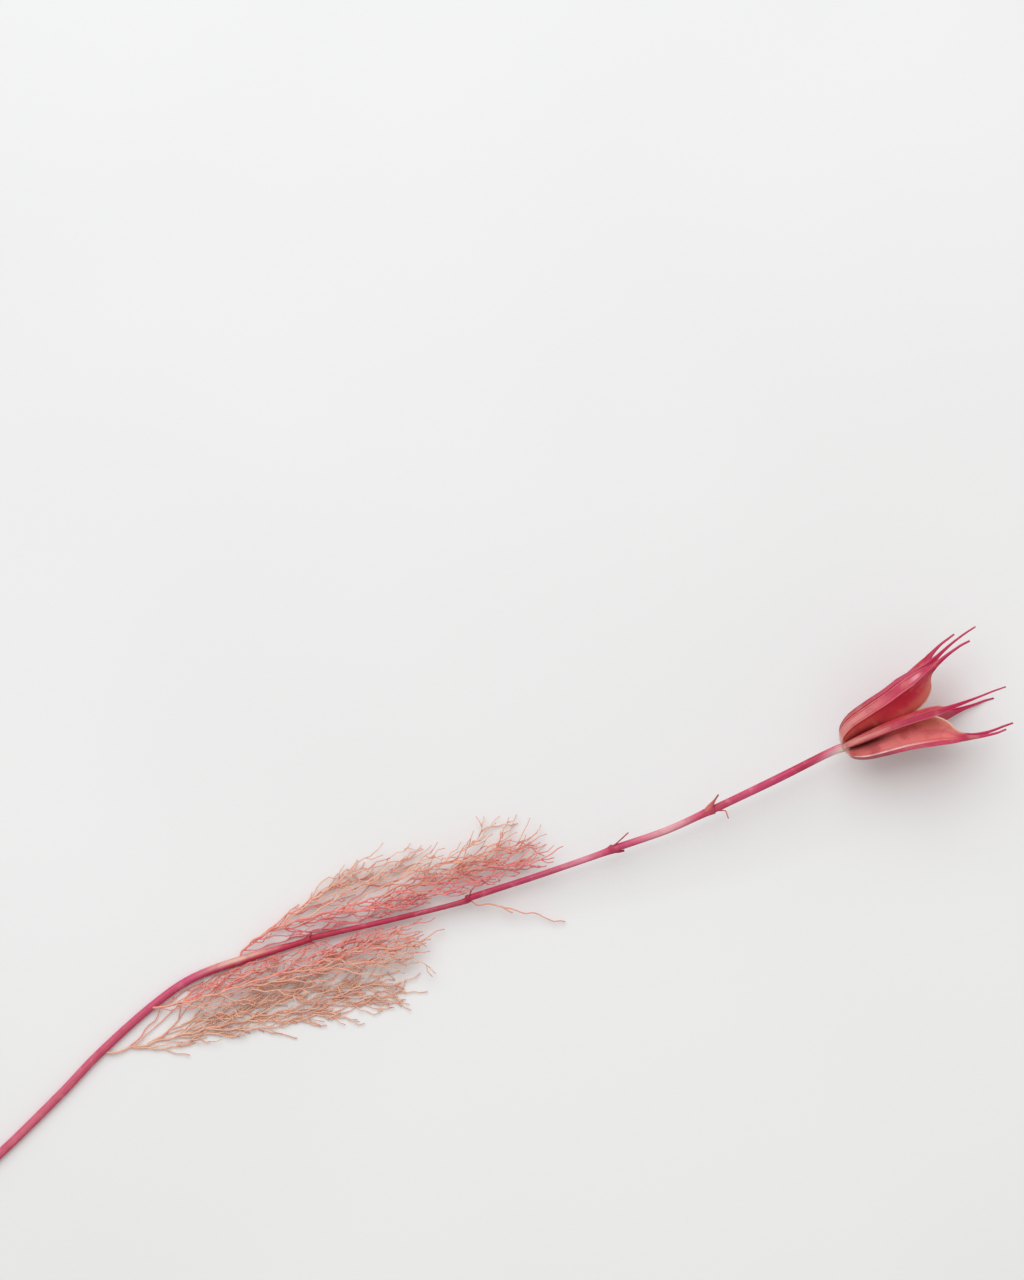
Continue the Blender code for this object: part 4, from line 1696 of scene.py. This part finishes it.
    def build(self, material: Material) -> bpy.types.Object:
        """Builds the leaf in its place.

        Args:
            material: its finish.

        Returns:
            The leaf's object.
        """
        rng = random.Random(self.shape.seed + self.look_seed)
        threads = [self.wavered(rng, thread, self.solid_steps) for thread in self.threads()]
        if self.shape.fine:
            strands = self.strands(rng, threads)
            threads += [self.wavered(rng, thread, self.strand_steps) for thread in strands]
            tips = self.ends(rng, threads, self.tips)
            tips += self.ends(rng, rng.sample(tips, len(tips) // self.last_tips_one_in), self.last_tips)
            threads += [self.wavered(rng, thread, self.tip_steps) for thread in tips]
        piece = PieceMesh(f"{self.shape.name}_threads")
        for thread in threads:
            last = len(thread.points) - 1
            radii = [0.5 * (thread.thick + (thread.fine - thread.thick) * index / last)
                     for index in range(last + 1)]
            piece.take(Stalk(thread.points, radii, self.sides, self.tone(rng, thread)).build())
        return piece.finish(material, self.shape.name)


# The studio.

@dataclass
class Studio:
    """A pale ground, soft daylight from the upper left, and a camera that looks straight down.

    The camera stands near enough for views from the sides, which keep its lens, to reach the object.
    """

    view_turn: float = math.radians(25.0)
    pixel: float = 0.235  # mm of the ground to a pixel
    image: tuple[int, int] = (1024, 1280)
    foot_pixel: Pair = (842.7, 747.2)  # where the pod's foot is in the picture
    distance: float = 6.0
    sensor: float = 36.0
    nearest: float = 0.01
    ground_size: float = 4.0
    ground: Colour = (0.928, 0.930, 0.930)
    ground_roughness: float = 0.85
    ground_specular: float = 0.2
    ground_play: float = 0.012
    cloud_scale: float = 6.0
    cloud_step: Pair = (0.35, 0.65)
    tooth_scale: float = 900.0
    tooth_height: float = 0.03  # mm
    window_aside: float = 0.2
    window_above: float = 0.72
    window_size: float = 1.6
    window_distance: float = 1.6
    window_energy: float = 19.45
    window_tint: Colour = (0.92, 0.952, 0.982)
    sky: Colour = (1.0, 0.985, 0.97)
    sky_strength: float = 0.54

    @property
    def right(self) -> Vector:
        """The direction to the right of the view."""
        return Vector((math.cos(self.view_turn), -math.sin(self.view_turn), 0.0))

    @property
    def up(self) -> Vector:
        """The direction to the top of the view."""
        return Vector((math.sin(self.view_turn), math.cos(self.view_turn), 0.0))

    def build_ground(self) -> None:
        """Lays the pale ground, a matte board with a faint tooth."""
        bm = bmesh.new()
        bmesh.ops.create_grid(bm, x_segments=1, y_segments=1, size=self.ground_size / 2)
        mesh = bpy.data.meshes.new("ground")
        bm.to_mesh(mesh)
        bm.free()
        material = bpy.data.materials.new("pale board")
        material.use_nodes = True
        board = NodeBoard(material.node_tree)
        place = board.add("ShaderNodeTexCoord").outputs["Object"]
        cloud = board.step(board.noise(place, self.cloud_scale, 2.0), *self.cloud_step)
        paler = tuple(min(1.0, part + self.ground_play) for part in self.ground)
        bump = board.add("ShaderNodeBump", {"Distance": self.tooth_height * MM,
                                            "Height": board.noise(place, self.tooth_scale, 3.0)})
        board.fill(material.node_tree.nodes["Principled BSDF"], {
            "Base Color": board.mix(cloud, linear(self.ground), linear(paler)),
            "Normal": bump.outputs["Normal"],
            "Roughness": self.ground_roughness,
            "Specular IOR Level": self.ground_specular})
        mesh.materials.append(material)
        ground = bpy.data.objects.new("ground", mesh)
        bpy.context.scene.collection.objects.link(ground)

    def build_light(self) -> None:
        """Hangs the soft window light and the sky."""
        light = bpy.data.lights.new("window", "AREA")
        light.shape = "SQUARE"
        light.size = self.window_size
        light.energy = self.window_energy
        light.color = self.window_tint
        lamp = bpy.data.objects.new("window", light)
        bpy.context.scene.collection.objects.link(lamp)
        away = self.up * self.window_above - self.right * self.window_aside + Vector((0.0, 0.0, 1.0))
        away.normalize()
        lamp.location = away * self.window_distance
        lamp.rotation_euler = away.to_track_quat("Z", "Y").to_euler()
        world = bpy.data.worlds.new("sky")
        bpy.context.scene.world = world
        world.use_nodes = True
        NodeBoard(world.node_tree).fill(world.node_tree.nodes["Background"],
                                        {"Color": linear(self.sky), "Strength": self.sky_strength})

    def build_camera(self) -> None:
        """Sets the camera straight above, turned as the picture is."""
        width, height = self.image
        aside = (width / 2 - self.foot_pixel[0]) * self.pixel
        upward = (self.foot_pixel[1] - height / 2) * self.pixel
        centre = (Vector((POD_FOOT.x, POD_FOOT.y, 0.0)) + self.right * aside + self.up * upward) * MM
        camera = bpy.data.cameras.new("camera")
        camera.sensor_fit = "HORIZONTAL"
        camera.sensor_width = self.sensor
        camera.lens = self.sensor * self.distance / (width * self.pixel * MM)
        camera.clip_start = self.nearest
        holder = bpy.data.objects.new("camera", camera)
        bpy.context.scene.collection.objects.link(holder)
        right, up = self.right, self.up
        holder.matrix_world = Matrix(((right.x, up.x, 0.0, centre.x), (right.y, up.y, 0.0, centre.y),
                                      (0.0, 0.0, 1.0, self.distance), (0.0, 0.0, 0.0, 1.0)))
        bpy.context.scene.camera = holder

    def build(self) -> None:
        """Builds the ground, the light and the camera."""
        self.build_ground()
        self.build_light()
        self.build_camera()
        bpy.context.scene.view_settings.view_transform = "Standard"


POD = PodFinish(
    "dyed pod skin", deep=(0.66, 0.12, 0.24), pale=(0.88, 0.58, 0.50), streak=(0.66, 0.16, 0.24),
    roughness=0.45, specular=0.35, blotches=0.36, streaks=0.34, wrinkles=0.35,
    across=10.0, along=2.2, relief=0.05, glow=0.3)
STEM = StemFinish(
    "dyed stem rind", deep=(0.68, 0.16, 0.30), pale=(0.90, 0.60, 0.64), streak=(0.68, 0.18, 0.32),
    roughness=0.50, specular=0.3, blotch_scale=420.0, blotches=0.25, streaks=0.35, wrinkles=0.1,
    across=3.2, along=0.08, relief=0.03)
LEAF = LeafFinish(
    "dried thread", deep=(0.84, 0.53, 0.47), pale=(0.96, 0.82, 0.74), streak=(0.84, 0.54, 0.49),
    roughness=0.55, specular=0.3, blotch_scale=500.0, blotches=0.35, streaks=0.25, wrinkles=0.1,
    across=1.4, along=9.0, relief=0.02)


def main() -> None:
    """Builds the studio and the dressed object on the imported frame."""
    logging.basicConfig(level=logging.INFO, format="%(name)s: %(message)s")
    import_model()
    Studio().build()
    groups = SkinGroups()
    SeedPod().build(POD.build(groups))
    Stem().build(STEM.build(groups))
    leaf_material = LEAF.build(groups)
    for shape in LEAVES:
        ThreadLeaf(shape).build(leaf_material)
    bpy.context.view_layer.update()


if __name__ == "__main__":
    main()
